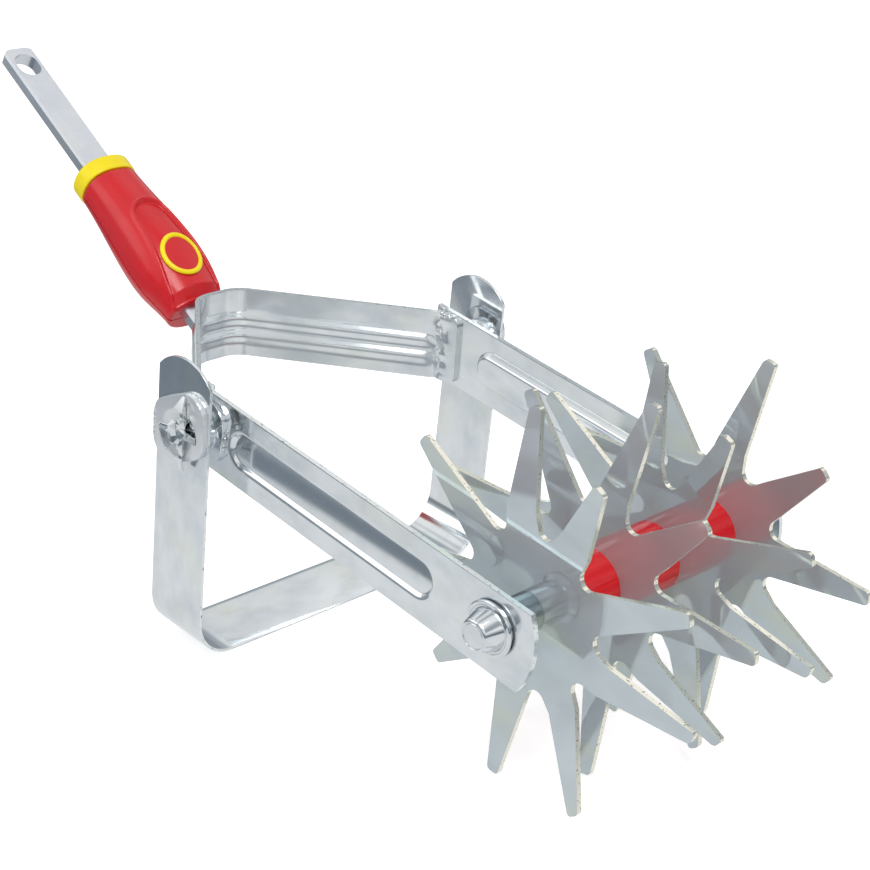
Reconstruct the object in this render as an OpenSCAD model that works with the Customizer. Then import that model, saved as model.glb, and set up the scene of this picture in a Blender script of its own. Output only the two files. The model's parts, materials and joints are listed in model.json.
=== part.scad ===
// Hand-pushed soil tiller head: four star wheels on an axle between two beaded arms, a
// swinging stirrup hoe behind them, and a tang with a moulded grip that plugs into a long
// handle.  Everything is drawn in the arm frame (origin on the wheel axle, arms along X,
// near side at -Y) and place() then stands the tool on its wheels and on its blade.

/* [Arms] */
// Room between the outer face of an arm and the leg of the hoe beside it
arm_gap = 8.8; // [7:0.1:14]
// Height of an arm strip
arm_h = 30; // [26:1:38]
// Thickness of an arm strip
arm_t = 2; // [1.5:0.1:2.4]
// Distance from the wheel axle back to the hoe pivot
pivot_x = 149; // [120:1:180]
// How far the arm runs back past the hoe pivot
arm_tail = 12; // [10:1:16]
// How far the arm runs forward past the wheel axle, to the corners of its end
arm_nose = 14.5; // [13:0.5:20]
// Bulge of the curved front end of an arm
nose_bulge = 4.2; // [1:0.1:6]
// Drop of the arm's middle line below the wheel axle
arm_drop = 1.3; // [0:0.1:3]
// Width of the pressed bead in an arm
bead_w = 15; // [10:0.5:17]
// Depth of the pressed bead in an arm
bead_depth = 3.2; // [1.5:0.1:4]
// Gap from the hoe pivot to the rear end of the bead
bead_rear = 14.5; // [11:0.5:24]
// Gap from the wheel axle to the front end of the bead
bead_front = 27; // [22:1:40]

/* [Star wheels] */
// Radius over the tips of the straight teeth
star_r = 68.2; // [60:0.2:76]
// Radius at the bottom of the gullets
root_r = 27.8; // [24:0.1:29]
// Radius of the rounded gullets
gullet_r = 3.8; // [2.5:0.1:4.5]
// Number of teeth, a multiple of three
teeth = 9; // [6:3:9]
// Width of a tooth at its tip
tip_w = 4.8; // [3:0.1:7]
// Thickness of a wheel
star_t = 2; // [1.5:0.1:2.5]
// Distance between neighbouring wheels
star_pitch = 31.1; // [28:0.1:34]
// Angle by which the wheels stand rolled on from where two teeth touch the ground
roll = 1.9; // [0:0.1:4]
// Radius of the line at which a set tooth is bent
set_r = 34.6; // [34:0.1:42]
// Angle to which a tooth is bent out of the wheel's plane
set_angle = 17; // [5:0.5:20]

/* [Axle] */
// Radius of the axle rod
axle_r = 5; // [4:0.1:6]
// Outer radius of the plastic spacer tubes
spacer_r = 12.7; // [11:0.1:15]
// Wall of the plastic spacer tubes
spacer_wall = 3; // [2.9:0.1:4]
// Outer radius of the steel end sleeves
sleeve_r = 6.9; // [6.6:0.1:9]
// Radius of a driving peg on the spacers
peg_r = 1.3; // [0.8:0.1:1.4]
// Length of a driving peg, less than the thickness of a wheel
peg_len = 1.2; // [0.6:0.1:1.3]
// Radius of the rim of a hub cap
cap_r = 10; // [9.5:0.1:12]
// Radius of the flat face of a hub cap
cap_face_r = 5; // [4.5:0.1:6]
// Height of a hub cap above the arm
cap_h = 8.5; // [7:0.1:11]
// Height of the rim of a hub cap
cap_rim = 1.7; // [1.2:0.1:2.5]

/* [Stirrup hoe] */
// Width over the two legs
hoe_w = 150; // [132:1:180]
// Width of the spring steel strip
strip_w = 29.5; // [28:0.5:34]
// Thickness of the spring steel strip
strip_t = 1.2; // [1:0.1:1.8]
// Distance from the pivot down to the underside of the blade
hoe_drop = 91.5; // [80:0.5:110]
// Distance from the pivot up to the shoulders of the leg
leg_top = 22; // [18:0.5:28]
// Height of the round top of the leg above its shoulders
leg_crown = 7; // [4:0.5:12]
// Outer radius of the two bends
hoe_bend = 17; // [10:0.5:24]
// Angle by which the hoe stands forward of square to the arms, against its front stop
hoe_lean = 4.4; // [0:0.1:10]
// Angle through which the hoe swings back from its front stop
swing = 39; // [20:1:44]
// Width of the ground cutting bevel at both edges of the blade
bevel_w = 2.5; // [1:0.1:4]

/* [Hoe pivot] */
// Width of the pivot plate outside each leg
plate_w = 29; // [27:0.5:30]
// Height of the pivot plate, along each of its two upright edges
plate_h = 27.5; // [26:0.5:34]
// Rise of the pivot plate's top and bottom edges towards the front
plate_rise = 27; // [20:1:32]
// Corner radius of the pivot plate
plate_corner = 9; // [6:0.5:10]
// Thickness of the pivot plate
plate_t = 2.2; // [1.5:0.1:3]
// Radius of the two lobes of the pivot window
lobe_r = 10.6; // [9:0.1:11]
// Tilt of the lug's flat neck above the arm's direction
neck_tilt = 12; // [8:1:20]
// Thickness of the lug's flat neck
neck_t = 2.4; // [2:0.1:3]
// Radius of the round foot of the lug, between arm and leg
lug_foot_r = 9; // [8:0.1:10]
// Width of the lug's base plate, welded to the arm
base_w = 25; // [22:0.5:26]
// Height of the lug's base plate
base_h = 25; // [22:0.5:26]
// Thickness of the lug's base plate
base_t = 2; // [1.5:0.1:2.5]
// Height of the lug's head over its two ears
head_h = 27; // [24:0.5:30]
// How far the lug's head stands out of the pivot plate
head_out = 4; // [3:0.1:6]
// Length of each twisted ear
ear_h = 6; // [4:0.1:7]
// Angle by which each ear is twisted
ear_twist = 40; // [10:1:50]

/* [Yoke] */
// Distance from the wheel axle back to the middle of the yoke
yoke_x = 224; // [210:1:250]
// Height of the yoke strip
yoke_h = 29.2; // [24:0.1:29.4]
// Thickness of the yoke strip
yoke_t = 1.8; // [1.5:0.1:2.2]
// Length of the straight middle of the yoke
yoke_mid = 14; // [12:0.5:24]
// Inner radius of the yoke's bends
yoke_bend = 5; // [3:0.5:8]
// Angle by which the yoke rises towards the arms
yoke_rise = 6.6; // [0:0.1:10]
// Length of the flat end that lies on the arm
yoke_flange = 8; // [7:0.5:12]
// Depth of the two pressed beads of the yoke
yoke_bead = 1.5; // [0.6:0.1:1.5]
// Length left flat where the beads run out
yoke_runout = 7; // [4:0.5:12]

/* [Tang] */
// Width of the tang
tang_w = 15; // [14:0.1:17]
// Thickness of the tang
tang_t = 6.2; // [5:0.1:7]
// Length of the tang, from the yoke to its rear end
tang_len = 165; // [150:1:200]
// Slope of the tang against the arms
tang_slope = 24; // [18:0.5:30]
// Bevel along the long edges of the tang
tang_bevel = 1.1; // [0.5:0.1:1.5]
// Corner radius at the rear end of the tang
tang_corner = 4; // [2:0.1:5]
// Depth planed off the tang's top behind the collar, where the handle bears on it
seat_cut = 0.2; // [0.1:0.05:0.4]
// Width of the latch hole
latch_w = 10.6; // [8:0.1:11]
// Length of the latch hole
latch_len = 13; // [11.5:0.1:18]
// Steel left between the latch hole and the rear end
latch_edge = 3.6; // [3:0.1:8]
// Length of the tang's foot on the yoke
foot_len = 22; // [16:0.5:24]
// Thickness of the tang's foot
foot_t = 4; // [3:0.1:4.5]

/* [Grip] */
// Distance from the yoke to the front end of the grip
grip_front = 11.5; // [11.5:0.5:18]
// Length of the red grip
grip_len = 72; // [70:1:85]
// Length of the yellow collar
collar_len = 9; // [6:0.5:12]
// Half width of the grip at the collar
grip_b0 = 12.6; // [11:0.1:15]
// Half width of the grip at its fullest
grip_b1 = 15.9; // [14:0.1:18]
// Half width of the grip at its front end
grip_b2 = 13.4; // [11:0.1:15]
// Half height of the grip at the collar
grip_c0 = 10.6; // [10:0.1:14]
// Half height of the grip at its fullest
grip_c1 = 15; // [13:0.1:17]
// Half height of the grip at its front end
grip_c2 = 11.4; // [10:0.1:13]
// Drop of the grip's middle below the top of the tang
grip_drop = 3.6; // [2:0.1:4]
// Wall of the grip shells
grip_wall = 2.6; // [2:0.1:3.5]
// Depth of the parting line below the middle of the grip
parting = 5.2; // [4.5:0.1:6]
// Depth of the sunk panel on top of the grip
panel_depth = 0.9; // [0.4:0.1:1.2]
// Length of the badge
badge_len = 20; // [14:0.5:22]
// Width of the badge
badge_w = 18; // [12:0.5:18]
// Width of the raised ring of the badge
badge_ring_w = 1.4; // [1:0.1:2]
// Distance from the front end of the grip to the middle of the badge
badge_pos = 20; // [16:0.5:26]
// Radius of the two grip screws
screw_r = 1.6; // [1.2:0.1:2]

/* [Fits] */
// Radial play of everything that turns on the axle
turn_play = 0.08; // [0.04:0.01:0.1]
// Play of the lug's neck in the pivot window
pivot_play = 0.1; // [0.06:0.01:0.2]
// Side play between a turning or swinging face and its neighbour
side_play = 0.3; // [0.2:0.05:0.5]
// Clearance of fixed parts that are slid together
slip = 0.1; // [0.05:0.01:0.15]

/* [Hidden] */
fine = 96;
medium = 48;
// A cutter runs this far past the face that it opens
over = 1;

steel = "#c9cfd4";
bright_steel = "#d6dade";
red_plastic = "#d0202a";
yellow_plastic = "#ecd500";

// Arms
arm_out = hoe_w / 2 - strip_t - arm_gap;
arm_in = arm_out - arm_t;
arm_z = -arm_drop;
nose_r = (arm_h * arm_h / 4 + nose_bulge * nose_bulge) / (2 * nose_bulge);
bead_r = (bead_w * bead_w / 4 + bead_depth * bead_depth) / (2 * bead_depth);
bead_y = -arm_out - bead_r + bead_depth;

// Star wheels: their middle planes stand evenly about the tool's middle
wheels = 4;
star_y = [for (i = [0:wheels - 1]) (i - (wheels - 1) / 2) * star_pitch];
tooth_step = 360 / teeth;
tip_x = sqrt(star_r * star_r - tip_w * tip_w / 4);
tip_round = min(1.2, tip_w / 4);
// A flank runs from the tip's corner and ends as a tangent to the gullet's circle
gullet_c = turned([root_r + gullet_r, 0], tooth_step / 2);
to_gullet = gullet_c - [tip_x, tip_w / 2];
flank_len = sqrt(to_gullet * to_gullet - gullet_r * gullet_r);
flank_a = atan2(to_gullet[1], to_gullet[0]) + asin(gullet_r / norm(to_gullet));
flank_foot = [tip_x + flank_len * cos(flank_a), tip_w / 2 + flank_len * sin(flank_a)];
// The flat part of a set tooth ends short of its bend; the bent part starts inside it, with
// its flanks drawn in
set_stub = set_r - 0.5;
set_root = set_r - 1.5;
set_inset = 0.06;
// A set tooth reaches less far from the axle
set_reach = set_r + (tip_x - set_r) * cos(set_angle);

// Half width of a tooth at a distance from the axle
function tooth_half(r) =
    tip_w / 2 + (tip_x - r) * (flank_foot[1] - tip_w / 2) / (tip_x - flank_foot[0]);
// Outline of a tooth's rounded tip, in the tooth's own direction
function tip_points() = [
    [tip_x - tip_round, tooth_half(tip_x - tip_round)],
    [tip_x - tip_round * 0.3, tip_w / 2 - tip_round * 0.3],
    [tip_x, tip_w / 2 - tip_round],
    [tip_x, tip_round - tip_w / 2],
    [tip_x - tip_round * 0.3, tip_round * 0.3 - tip_w / 2],
    [tip_x - tip_round, -tooth_half(tip_x - tip_round)]];
// The gullet between a tooth and the next one round, from flank to flank
function gullet_points() = [for (j = [0:8])
    let (foot_a = atan2(flank_foot[1] - gullet_c[1], flank_foot[0] - gullet_c[0]),
         a = (foot_a + 180 - tooth_step / 2) * j / 4 - foot_a)
    [gullet_c[0] + gullet_r * cos(a), gullet_r * sin(a) - gullet_c[1]]];
// Which way tooth k is set: 0 straight, 1 to the far side, -1 to the near side
function tooth_set(k) = [0, 1, -1][k % 3];
function turned(p, a) = [p[0] * cos(a) - p[1] * sin(a), p[0] * sin(a) + p[1] * cos(a)];

// Hoe and its pivot
leg_in = hoe_w / 2 - strip_t;
crown_r = (strip_w * strip_w / 4 + leg_crown * leg_crown) / (2 * leg_crown);
lobe_angle = swing / 2 + 0.5;
waist = (neck_t / 2 + pivot_play) / cos(lobe_angle);
window_tilt = neck_tilt + swing / 2 - hoe_lean;
plate_out = hoe_w / 2 + plate_t;
plate_up = 2;
head_in = plate_out + side_play;
lug_out = head_in + head_out;
head_at = [1.5, 2];
ear_shift = 0.5;

// Standing: the ground touches the front edge of the blade and a straight tooth of the first
// wheel.  With no roll it would also touch a set tooth of the next wheel, which stands half a
// tooth further round
hoe_front = turned([strip_w / 2, -hoe_drop], hoe_lean) + [-pivot_x, arm_z];
rest_turn = atan((tip_x / set_reach - cos(tooth_step / 2)) / sin(tooth_step / 2)) - roll;
axle_height = max([for (q = tip_points()) q[0] * cos(rest_turn) + q[1] * sin(rest_turn)]);
arm_slope = acos(axle_height / norm(hoe_front)) - atan2(-hoe_front[0], -hoe_front[1]);
down_a = arm_slope - 90;
star_phase = [for (i = [0:wheels - 1]) down_a - rest_turn - (i % 2) * tooth_step / 2];

// World height and world length of a point [x, z] of the arm frame, before place() shifts it
function world_z(p) = p[1] * cos(arm_slope) - p[0] * sin(arm_slope);
function world_x(p) = p[0] * cos(arm_slope) + p[1] * sin(arm_slope);
// Corners of all tooth tips in the arm frame
tip_corners = [for (i = [0:wheels - 1]) for (k = [0:teeth - 1]) for (q = tip_points())
    let (x = tooth_set(k) == 0 ? q[0] : set_r + (q[0] - set_r) * cos(set_angle)
            + star_t / 2 * sin(set_angle))
    turned([x, q[1]], star_phase[i] - k * tooth_step)];
ground = min(concat([for (p = tip_corners) world_z(p)], [world_z(hoe_front)]));

// Yoke: a strip bent into a wide U, in a plane that rises towards the arms
yoke_end_y = arm_in - yoke_t / 2;
flange_x = pivot_x - 3;
yoke_z = arm_z - (yoke_x - flange_x) * tan(yoke_rise);
yoke_run = (yoke_x - flange_x) / cos(yoke_rise) - yoke_flange;
bend_r = yoke_bend + yoke_t / 2;
wing_span = [yoke_run - bend_r, yoke_end_y - yoke_mid / 2 - bend_r];
wing_len = norm(wing_span);
wing_a = atan2(wing_span[1], wing_span[0]);
wing_start = [bend_r - bend_r * sin(wing_a), yoke_mid / 2 + bend_r * cos(wing_a)];
rib_w = yoke_h * 0.22;
rib_r = (rib_w * rib_w / 4 + yoke_bead * yoke_bead) / (2 * yoke_bead);
rib_y = -yoke_t / 2 - rib_r + yoke_bead;

// Tang: starts on the rear face of the yoke's middle
tang_at = [-yoke_x - yoke_t / 2 / cos(yoke_rise), yoke_z];
tang_end = tang_at + tang_len * [-cos(tang_slope), sin(tang_slope)];
tang_tail = tang_end - tang_t * [sin(tang_slope), cos(tang_slope)];
latch_x = tang_len - latch_edge - latch_len;

// Grip, along the tang from the yoke
grip_rear = grip_front + grip_len;
parting_z = -grip_drop - parting;
edge_r = 2;
badge_x = grip_front + badge_pos;
badge_seat = badge_len / 2 + 2.5;
cells = 3;
cell_rib = 4;
cell_start = badge_x + badge_seat;
cell_step = (grip_rear - cell_start) / cells;
screw_x = [badge_x, grip_rear - cell_step - cell_rib / 2];
boss_r = screw_r + 2;
head_r = screw_r + 1.4;
collar_wall = 1.6;

function ease(u) = u < 0 ? 0 : u > 1 ? 1 : u * u * (3 - 2 * u);
// Half width and half height of the grip at a share of its length from the front end
function grip_b(f) = f < 0.28 ? grip_b2 + (grip_b1 - grip_b2) * ease(f / 0.28)
                              : grip_b1 + (grip_b0 - grip_b1) * ease((f - 0.28) / 0.6);
function grip_c(f) = f < 0.4 ? grip_c2 + (grip_c1 - grip_c2) * ease(f / 0.4)
                             : grip_c1 + (grip_c0 - grip_c1) * ease((f - 0.4) / 0.5);
badge_f = badge_pos / grip_len;
badge_tilt = atan((grip_c(badge_f + 0.05) - grip_c(badge_f - 0.05)) / (0.1 * grip_len));
badge_z = grip_c(badge_f) - grip_drop - panel_depth;

// Length of the whole tool, for the middle of the frame
front_x = max([for (p = tip_corners) world_x(p)]);
rear_x = world_x(tang_tail);

// Stands the arm frame on the ground, with the middle of the tool's box at the origin
module place() {
    translate([-(rear_x + front_x) / 2, 0, -ground]) rotate([0, arm_slope, 0]) children();
}

module hoe_frame() {
    translate([-pivot_x, 0, arm_z]) rotate([0, -hoe_lean, 0]) children();
}

module pivot_frame() {
    translate([-pivot_x, 0, arm_z]) children();
}

module yoke_frame() {
    translate([-yoke_x, 0, yoke_z]) rotate([0, -yoke_rise, 0]) children();
}

// Length along X from the yoke, the tang's top face at Z = 0
module tang_frame() {
    translate([tang_at[0], 0, tang_at[1]]) rotate([0, -tang_slope, 180]) children();
}

module badge_frame() {
    tang_frame() translate([badge_x, 0, badge_z]) rotate([0, -badge_tilt, 0]) children();
}

module far_side() {
    mirror([0, 1, 0]) children();
}

// Extrudes an outline drawn as [x, z] from y to y + t
module side_plate(y, t) {
    translate([0, y + t, 0]) rotate([90, 0, 0]) linear_extrude(t) children();
}

// A round bar along Y from y to y + len
module cross_bar(y, len, r) {
    translate([0, y + len, 0]) rotate([90, 0, 0]) cylinder(h = len, r = r, $fn = fine);
}

// A round bar along X with round ends, len between the middles of its ends
module capsule(len, r) {
    rotate([0, 90, 0]) cylinder(h = len, r = r, $fn = fine);
    sphere(r = r, $fn = fine);
    translate([len, 0, 0]) sphere(r = r, $fn = fine);
}

module rounded(w, h, r) {
    square([w - 2 * r, h], center = true);
    square([w, h - 2 * r], center = true);
    for (x = [-1, 1], y = [-1, 1])
        translate([x * (w / 2 - r), y * (h / 2 - r)]) circle(r = r, $fn = medium);
}

// Arms

module arm_outline() {
    reach = pivot_x + arm_tail;
    intersection() {
        translate([-reach, arm_z - arm_h / 2]) square([reach + arm_nose + nose_bulge, arm_h]);
        union() {
            translate([arm_nose + nose_bulge - nose_r, arm_z]) circle(r = nose_r, $fn = fine);
            translate([-reach, arm_z - arm_h]) square([reach, 2 * arm_h]);
        }
    }
}

module arm_bead(r) {
    x = bead_rear + bead_w / 2 - pivot_x;
    translate([x, bead_y, arm_z]) capsule(-bead_front - bead_w / 2 - x, r);
}

module arm() {
    color(steel) difference() {
        union() {
            side_plate(-arm_out, arm_t) arm_outline();
            intersection() {
                arm_bead(bead_r + arm_t);
                translate([-pivot_x, -arm_in - arm_t / 2, arm_z - arm_h / 2])
                    cube([pivot_x, arm_t / 2 + bead_depth + over, arm_h]);
            }
        }
        arm_bead(bead_r);
        cross_bar(-arm_out - over, arm_t + 2 * over, axle_r + slip);
    }
}

module arm_near() place() arm();
module arm_far() place() far_side() arm();

// Axle and its caps

module axle_rod() {
    end = arm_out + cap_h - cap_rim;
    color(bright_steel) place() cross_bar(-end, 2 * end, axle_r);
}

module hub_cap() {
    bore_r = axle_r + slip;
    color(bright_steel) translate([0, -arm_out, 0]) rotate([90, 0, 0]) rotate_extrude($fn = fine)
        polygon([[bore_r, 0], [cap_r, 0], [cap_r, cap_rim * 0.6], [cap_r - 0.4, cap_rim],
                 [cap_r - 2.2, cap_rim], [cap_face_r + 0.8, cap_h - 0.8], [cap_face_r, cap_h],
                 [0, cap_h], [0, cap_h - cap_rim + slip], [bore_r, cap_h - cap_rim + slip]]);
}

module hub_cap_near() place() hub_cap();
module hub_cap_far() place() far_side() hub_cap();

// Star wheels, sleeves and spacers

module bored_tube(y, len, r, bore_r) {
    difference() {
        cross_bar(y, len, r);
        cross_bar(y - over, len + 2 * over, bore_r);
    }
}

module end_sleeve() {
    outer_face = star_y[wheels - 1] + star_t / 2;
    color(bright_steel)
        bored_tube(-arm_in + side_play, arm_in - side_play - outer_face, sleeve_r, axle_r + turn_play);
}

module end_sleeve_near() place() end_sleeve();
module end_sleeve_far() place() far_side() end_sleeve();

// Three pegs or peg holes at one end of a spacer; the two ends stand 60 degrees apart
module pegs(y, len, r, turn) {
    for (a = [0, 120, 240])
        rotate([0, a + turn, 0]) translate([spacer_r - spacer_wall / 2, 0, 0]) cross_bar(y, len, r);
}

module spacer_tube(i) {
    y1 = star_y[i] + star_t / 2;
    y2 = star_y[i + 1] - star_t / 2;
    color(red_plastic) place() {
        bored_tube(y1, y2 - y1, spacer_r, spacer_r - spacer_wall);
        pegs(y1 - peg_len, peg_len + over, peg_r, 60);
        pegs(y2 - over, peg_len + over, peg_r, 0);
    }
}

module spacer_tube_1() spacer_tube(0);
module spacer_tube_2() spacer_tube(1);
module spacer_tube_3() spacer_tube(2);

// The flat part of a wheel; a set tooth is cut off short of its bend and drawn apart
module star_outline() {
    polygon([for (k = [0:teeth - 1]) for (q = concat(
        tooth_set(k) == 0 ? tip_points() : [[set_stub, tooth_half(set_stub)],
                                            [set_stub, -tooth_half(set_stub)]],
        gullet_points())) turned(q, -k * tooth_step)]);
}

// A set tooth from just inside its bend: the bent sheet's profile crossed with the outline
module set_tooth(side) {
    fold = star_t / 2 * tan(set_angle / 2);
    rise = tan(set_angle);
    slant = star_t / 2 / cos(set_angle);
    run = tip_x - set_r;
    root_half = tooth_half(set_root) - set_inset;
    bend_half = tooth_half(set_r) - set_inset;
    intersection() {
        translate([0, 0, -root_half - over]) linear_extrude(2 * (root_half + over)) polygon([
            [set_root, -side * star_t / 2], [set_r + fold, -side * star_t / 2],
            [set_r + run, side * (run * rise - slant)], [set_r + run, side * (run * rise + slant)],
            [set_r - fold, side * star_t / 2], [set_root, side * star_t / 2]]);
        side_plate(-star_r / 2, star_r) polygon(concat([[set_root, root_half], [set_r, bend_half]],
            [for (q = tip_points()) [set_r + (q[0] - set_r) * cos(set_angle), q[1]]],
            [[set_r, -bend_half], [set_root, -root_half]]));
    }
}

// Star i in its own plane, then moved along the axle
module star_wheel(i) {
    color(steel) place() translate([0, star_y[i], 0]) rotate([0, -star_phase[i], 0]) difference() {
        union() {
            side_plate(-star_t / 2, star_t) star_outline();
            for (k = [0:teeth - 1])
                if (tooth_set(k) != 0) rotate([0, k * tooth_step, 0]) set_tooth(tooth_set(k));
        }
        cross_bar(-star_t / 2 - over, star_t + 2 * over, axle_r + turn_play);
        rotate([0, star_phase[i], 0]) {
            depth = peg_len + slip;
            if (i > 0) pegs(-star_t / 2 - over, depth + over, peg_r + slip, 0);
            if (i < wheels - 1) pegs(star_t / 2 - depth, depth + over, peg_r + slip, 60);
        }
    }
}

module star_wheel_1() star_wheel(0);
module star_wheel_2() star_wheel(1);
module star_wheel_3() star_wheel(2);
module star_wheel_4() star_wheel(3);

// Stirrup hoe

// One lobe of the pivot window; it narrows to the waist that the lug's neck rocks on
module window_lobe(grow) {
    reach = lobe_r + pivot_play + grow;
    intersection() {
        circle(r = reach, $fn = fine);
        polygon([[0, waist + grow], [reach, waist + grow + reach * tan(lobe_angle)],
                 [reach, -waist - grow - reach * tan(lobe_angle)], [0, -waist - grow]]);
    }
}

module pivot_window(grow = 0) {
    rotate(window_tilt) {
        window_lobe(grow);
        rotate(180) window_lobe(grow);
    }
}

// The leg seen from the side, with its round top
module leg_outline() {
    intersection() {
        translate([-strip_w / 2, -hoe_drop]) square([strip_w, hoe_drop + leg_top + leg_crown]);
        union() {
            translate([0, leg_top + leg_crown - crown_r]) circle(r = crown_r, $fn = fine);
            translate([-strip_w, -hoe_drop]) square([2 * strip_w, hoe_drop + leg_top]);
        }
    }
}

// The strip seen from the front, as [y, z]
module strip_profile(inset) {
    w = hoe_w - 2 * inset;
    r = hoe_bend - inset;
    bottom = inset - hoe_drop;
    translate([-w / 2 + r, bottom]) square([w - 2 * r, leg_top + leg_crown - bottom + over * inset]);
    translate([-w / 2, bottom + r]) square([w, leg_top + leg_crown - bottom - r + over * inset]);
    for (s = [-1, 1]) translate([s * (w / 2 - r), bottom + r]) circle(r = r, $fn = fine);
}

module stirrup_blade() {
    bevel_h = strip_t * 0.65;
    color(steel) place() hoe_frame() difference() {
        intersection() {
            translate([strip_w / 2, 0, 0]) rotate([90, 0, -90]) linear_extrude(strip_w) difference() {
                strip_profile(0);
                strip_profile(strip_t);
            }
            side_plate(-hoe_w / 2 - over, hoe_w + 2 * over) leg_outline();
        }
        side_plate(-hoe_w / 2 - over, hoe_w + 2 * over) pivot_window();
        // Ground bevels on the upper face of the blade, between the bends
        for (s = [-1, 1])
            side_plate(-hoe_w / 2 + hoe_bend, hoe_w - 2 * hoe_bend)
                polygon([[s * (strip_w / 2 - bevel_w), strip_t - hoe_drop],
                         [s * strip_w / 2, strip_t - bevel_h - hoe_drop],
                         [s * (strip_w / 2 + over), strip_t - bevel_h - hoe_drop],
                         [s * (strip_w / 2 + over), strip_t + over - hoe_drop],
                         [s * (strip_w / 2 - bevel_w), strip_t + over - hoe_drop]]);
    }
}

// A parallelogram with round corners, its middle a little above the pivot
module plate_outline() {
    r = plate_corner;
    // Corner circles touch the upright edges and the sloping ones
    x = plate_w / 2 - r;
    z = plate_h / 2 - r / cos(plate_rise);
    slope = x * tan(plate_rise);
    corners = [[x, z + slope, 0, 90 + plate_rise], [-x, z - slope, 90 + plate_rise, 180],
               [-x, -z - slope, 180, 270 + plate_rise], [x, slope - z, 270 + plate_rise, 360]];
    translate([0, plate_up]) polygon([for (c = corners) for (j = [0:8])
        let (a = c[2] + (c[3] - c[2]) * j / 8) [c[0] + r * cos(a), c[1] + r * sin(a)]]);
}

module pivot_plate() {
    color(bright_steel) hoe_frame() side_plate(-plate_out, plate_t) difference() {
        plate_outline();
        pivot_window();
    }
}

module pivot_plate_near() place() pivot_plate();
module pivot_plate_far() place() far_side() pivot_plate();

// Base plate on the arm, round foot up to the leg, flat neck through the windows, then the
// head with its two twisted ears that keeps the leg on
module pivot_lug() {
    foot_end = leg_in - side_play;
    ear_y = -(head_in + lug_out) / 2 - ear_shift;
    color(bright_steel) pivot_frame() {
        side_plate(-arm_out - base_t, base_t) rounded(base_w, base_h, 8);
        cross_bar(-foot_end, foot_end - arm_out, lug_foot_r);
        side_plate(-head_in - 1, head_in + 1 - arm_out - base_t / 2) intersection() {
            rotate(neck_tilt) square([2 * lobe_r, neck_t], center = true);
            circle(r = lobe_r - pivot_play, $fn = fine);
        }
        side_plate(-lug_out, head_out) translate(head_at)
            rounded(neck_t, head_h - 2 * ear_h + 1, 0.5);
        for (s = [-1, 1])
            translate([head_at[0], ear_y, head_at[1] + s * (head_h - ear_h) / 2]) rotate([0, 0, ear_twist])
                cube([neck_t, head_out, ear_h], center = true);
    }
}

module pivot_lug_near() place() pivot_lug();
module pivot_lug_far() place() far_side() pivot_lug();

// Yoke

function arc_points(c, r, start, end) =
    [for (i = [0:10]) let (a = start + (end - start) * i / 10) c + r * [cos(a), sin(a)]];
// One face of the strip seen from above, from the tool's middle to the end of its flange: the
// face inside both bends with side 1, the one outside them with -1
function yoke_face(side) = let (r = bend_r - side * yoke_t / 2) concat(
    [[side * yoke_t / 2, 0]],
    arc_points([bend_r, yoke_mid / 2], r, 180, 90 + wing_a),
    arc_points(wing_start + turned([wing_len, -bend_r], wing_a), r, 90 + wing_a, 90),
    [[yoke_run + yoke_flange, yoke_end_y - side * yoke_t / 2]]);

module yoke_half() {
    outer = yoke_face(-1);
    polygon(concat(yoke_face(1), [for (i = [len(outer) - 1:-1:0]) outer[i]]));
}

// The two beads pressed outwards along a wing
module wing_beads(r) {
    x = yoke_runout + rib_w / 2;
    translate([wing_start[0], wing_start[1], 0]) rotate([0, 0, wing_a])
        for (z = [0, -1])
            translate([x, rib_y, (z + 0.1) * (rib_w + 0.3)]) capsule(wing_len - 2 * x, r);
}

module yoke_side() {
    difference() {
        union() {
            translate([0, 0, -yoke_h / 2]) linear_extrude(yoke_h) yoke_half();
            intersection() {
                wing_beads(rib_r + yoke_t);
                translate([wing_start[0], wing_start[1], -yoke_h / 2]) rotate([0, 0, wing_a])
                    cube([wing_len, yoke_t + yoke_bead + over, yoke_h]);
            }
        }
        wing_beads(rib_r);
    }
}

module yoke() {
    color(steel) place() yoke_frame() {
        yoke_side();
        far_side() yoke_side();
    }
}

// Tang

module tang_plan() {
    difference() {
        union() {
            translate([0, -tang_w / 2]) square([tang_len - tang_corner, tang_w]);
            translate([0, -tang_w / 2 + tang_corner]) square([tang_len, tang_w - 2 * tang_corner]);
            for (s = [-1, 1])
                translate([tang_len - tang_corner, s * (tang_w / 2 - tang_corner)])
                    circle(r = tang_corner, $fn = medium);
        }
        translate([latch_x + latch_w / 2, -latch_w / 2]) square([latch_len - latch_w, latch_w]);
        for (x = [latch_x + latch_w / 2, latch_x + latch_len - latch_w / 2])
            translate([x, 0]) circle(r = latch_w / 2, $fn = medium);
        for (x = screw_x) translate([x, 0]) circle(r = screw_r + slip, $fn = medium);
    }
}

// The tang's section, with its long edges bevelled
module tang_section() {
    w = tang_w / 2;
    b = tang_bevel;
    polygon([[-w, -b], [b - w, 0], [w - b, 0], [w, -b],
             [w, b - tang_t], [w - b, -tang_t], [b - w, -tang_t], [-w, b - tang_t]]);
}

module tang() {
    color(bright_steel) place() difference() {
        union() {
            tang_frame() intersection() {
                translate([0, 0, -tang_t]) linear_extrude(tang_t) tang_plan();
                rotate([90, 0, 90]) linear_extrude(tang_len) tang_section();
            }
            yoke_frame() translate([-yoke_t / 2, 0, 0]) rotate([0, -90, 0])
                linear_extrude(foot_t) rounded(foot_len, yoke_mid, 2);
        }
        yoke_frame() translate([-yoke_t / 2, -tang_w, -yoke_h])
            cube([tang_len, 2 * tang_w, 2 * yoke_h]);
        tang_frame() translate([grip_rear + collar_len + slip, -tang_w, -seat_cut])
            cube([tang_len, 2 * tang_w, over]);
    }
}

// Grip

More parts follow.
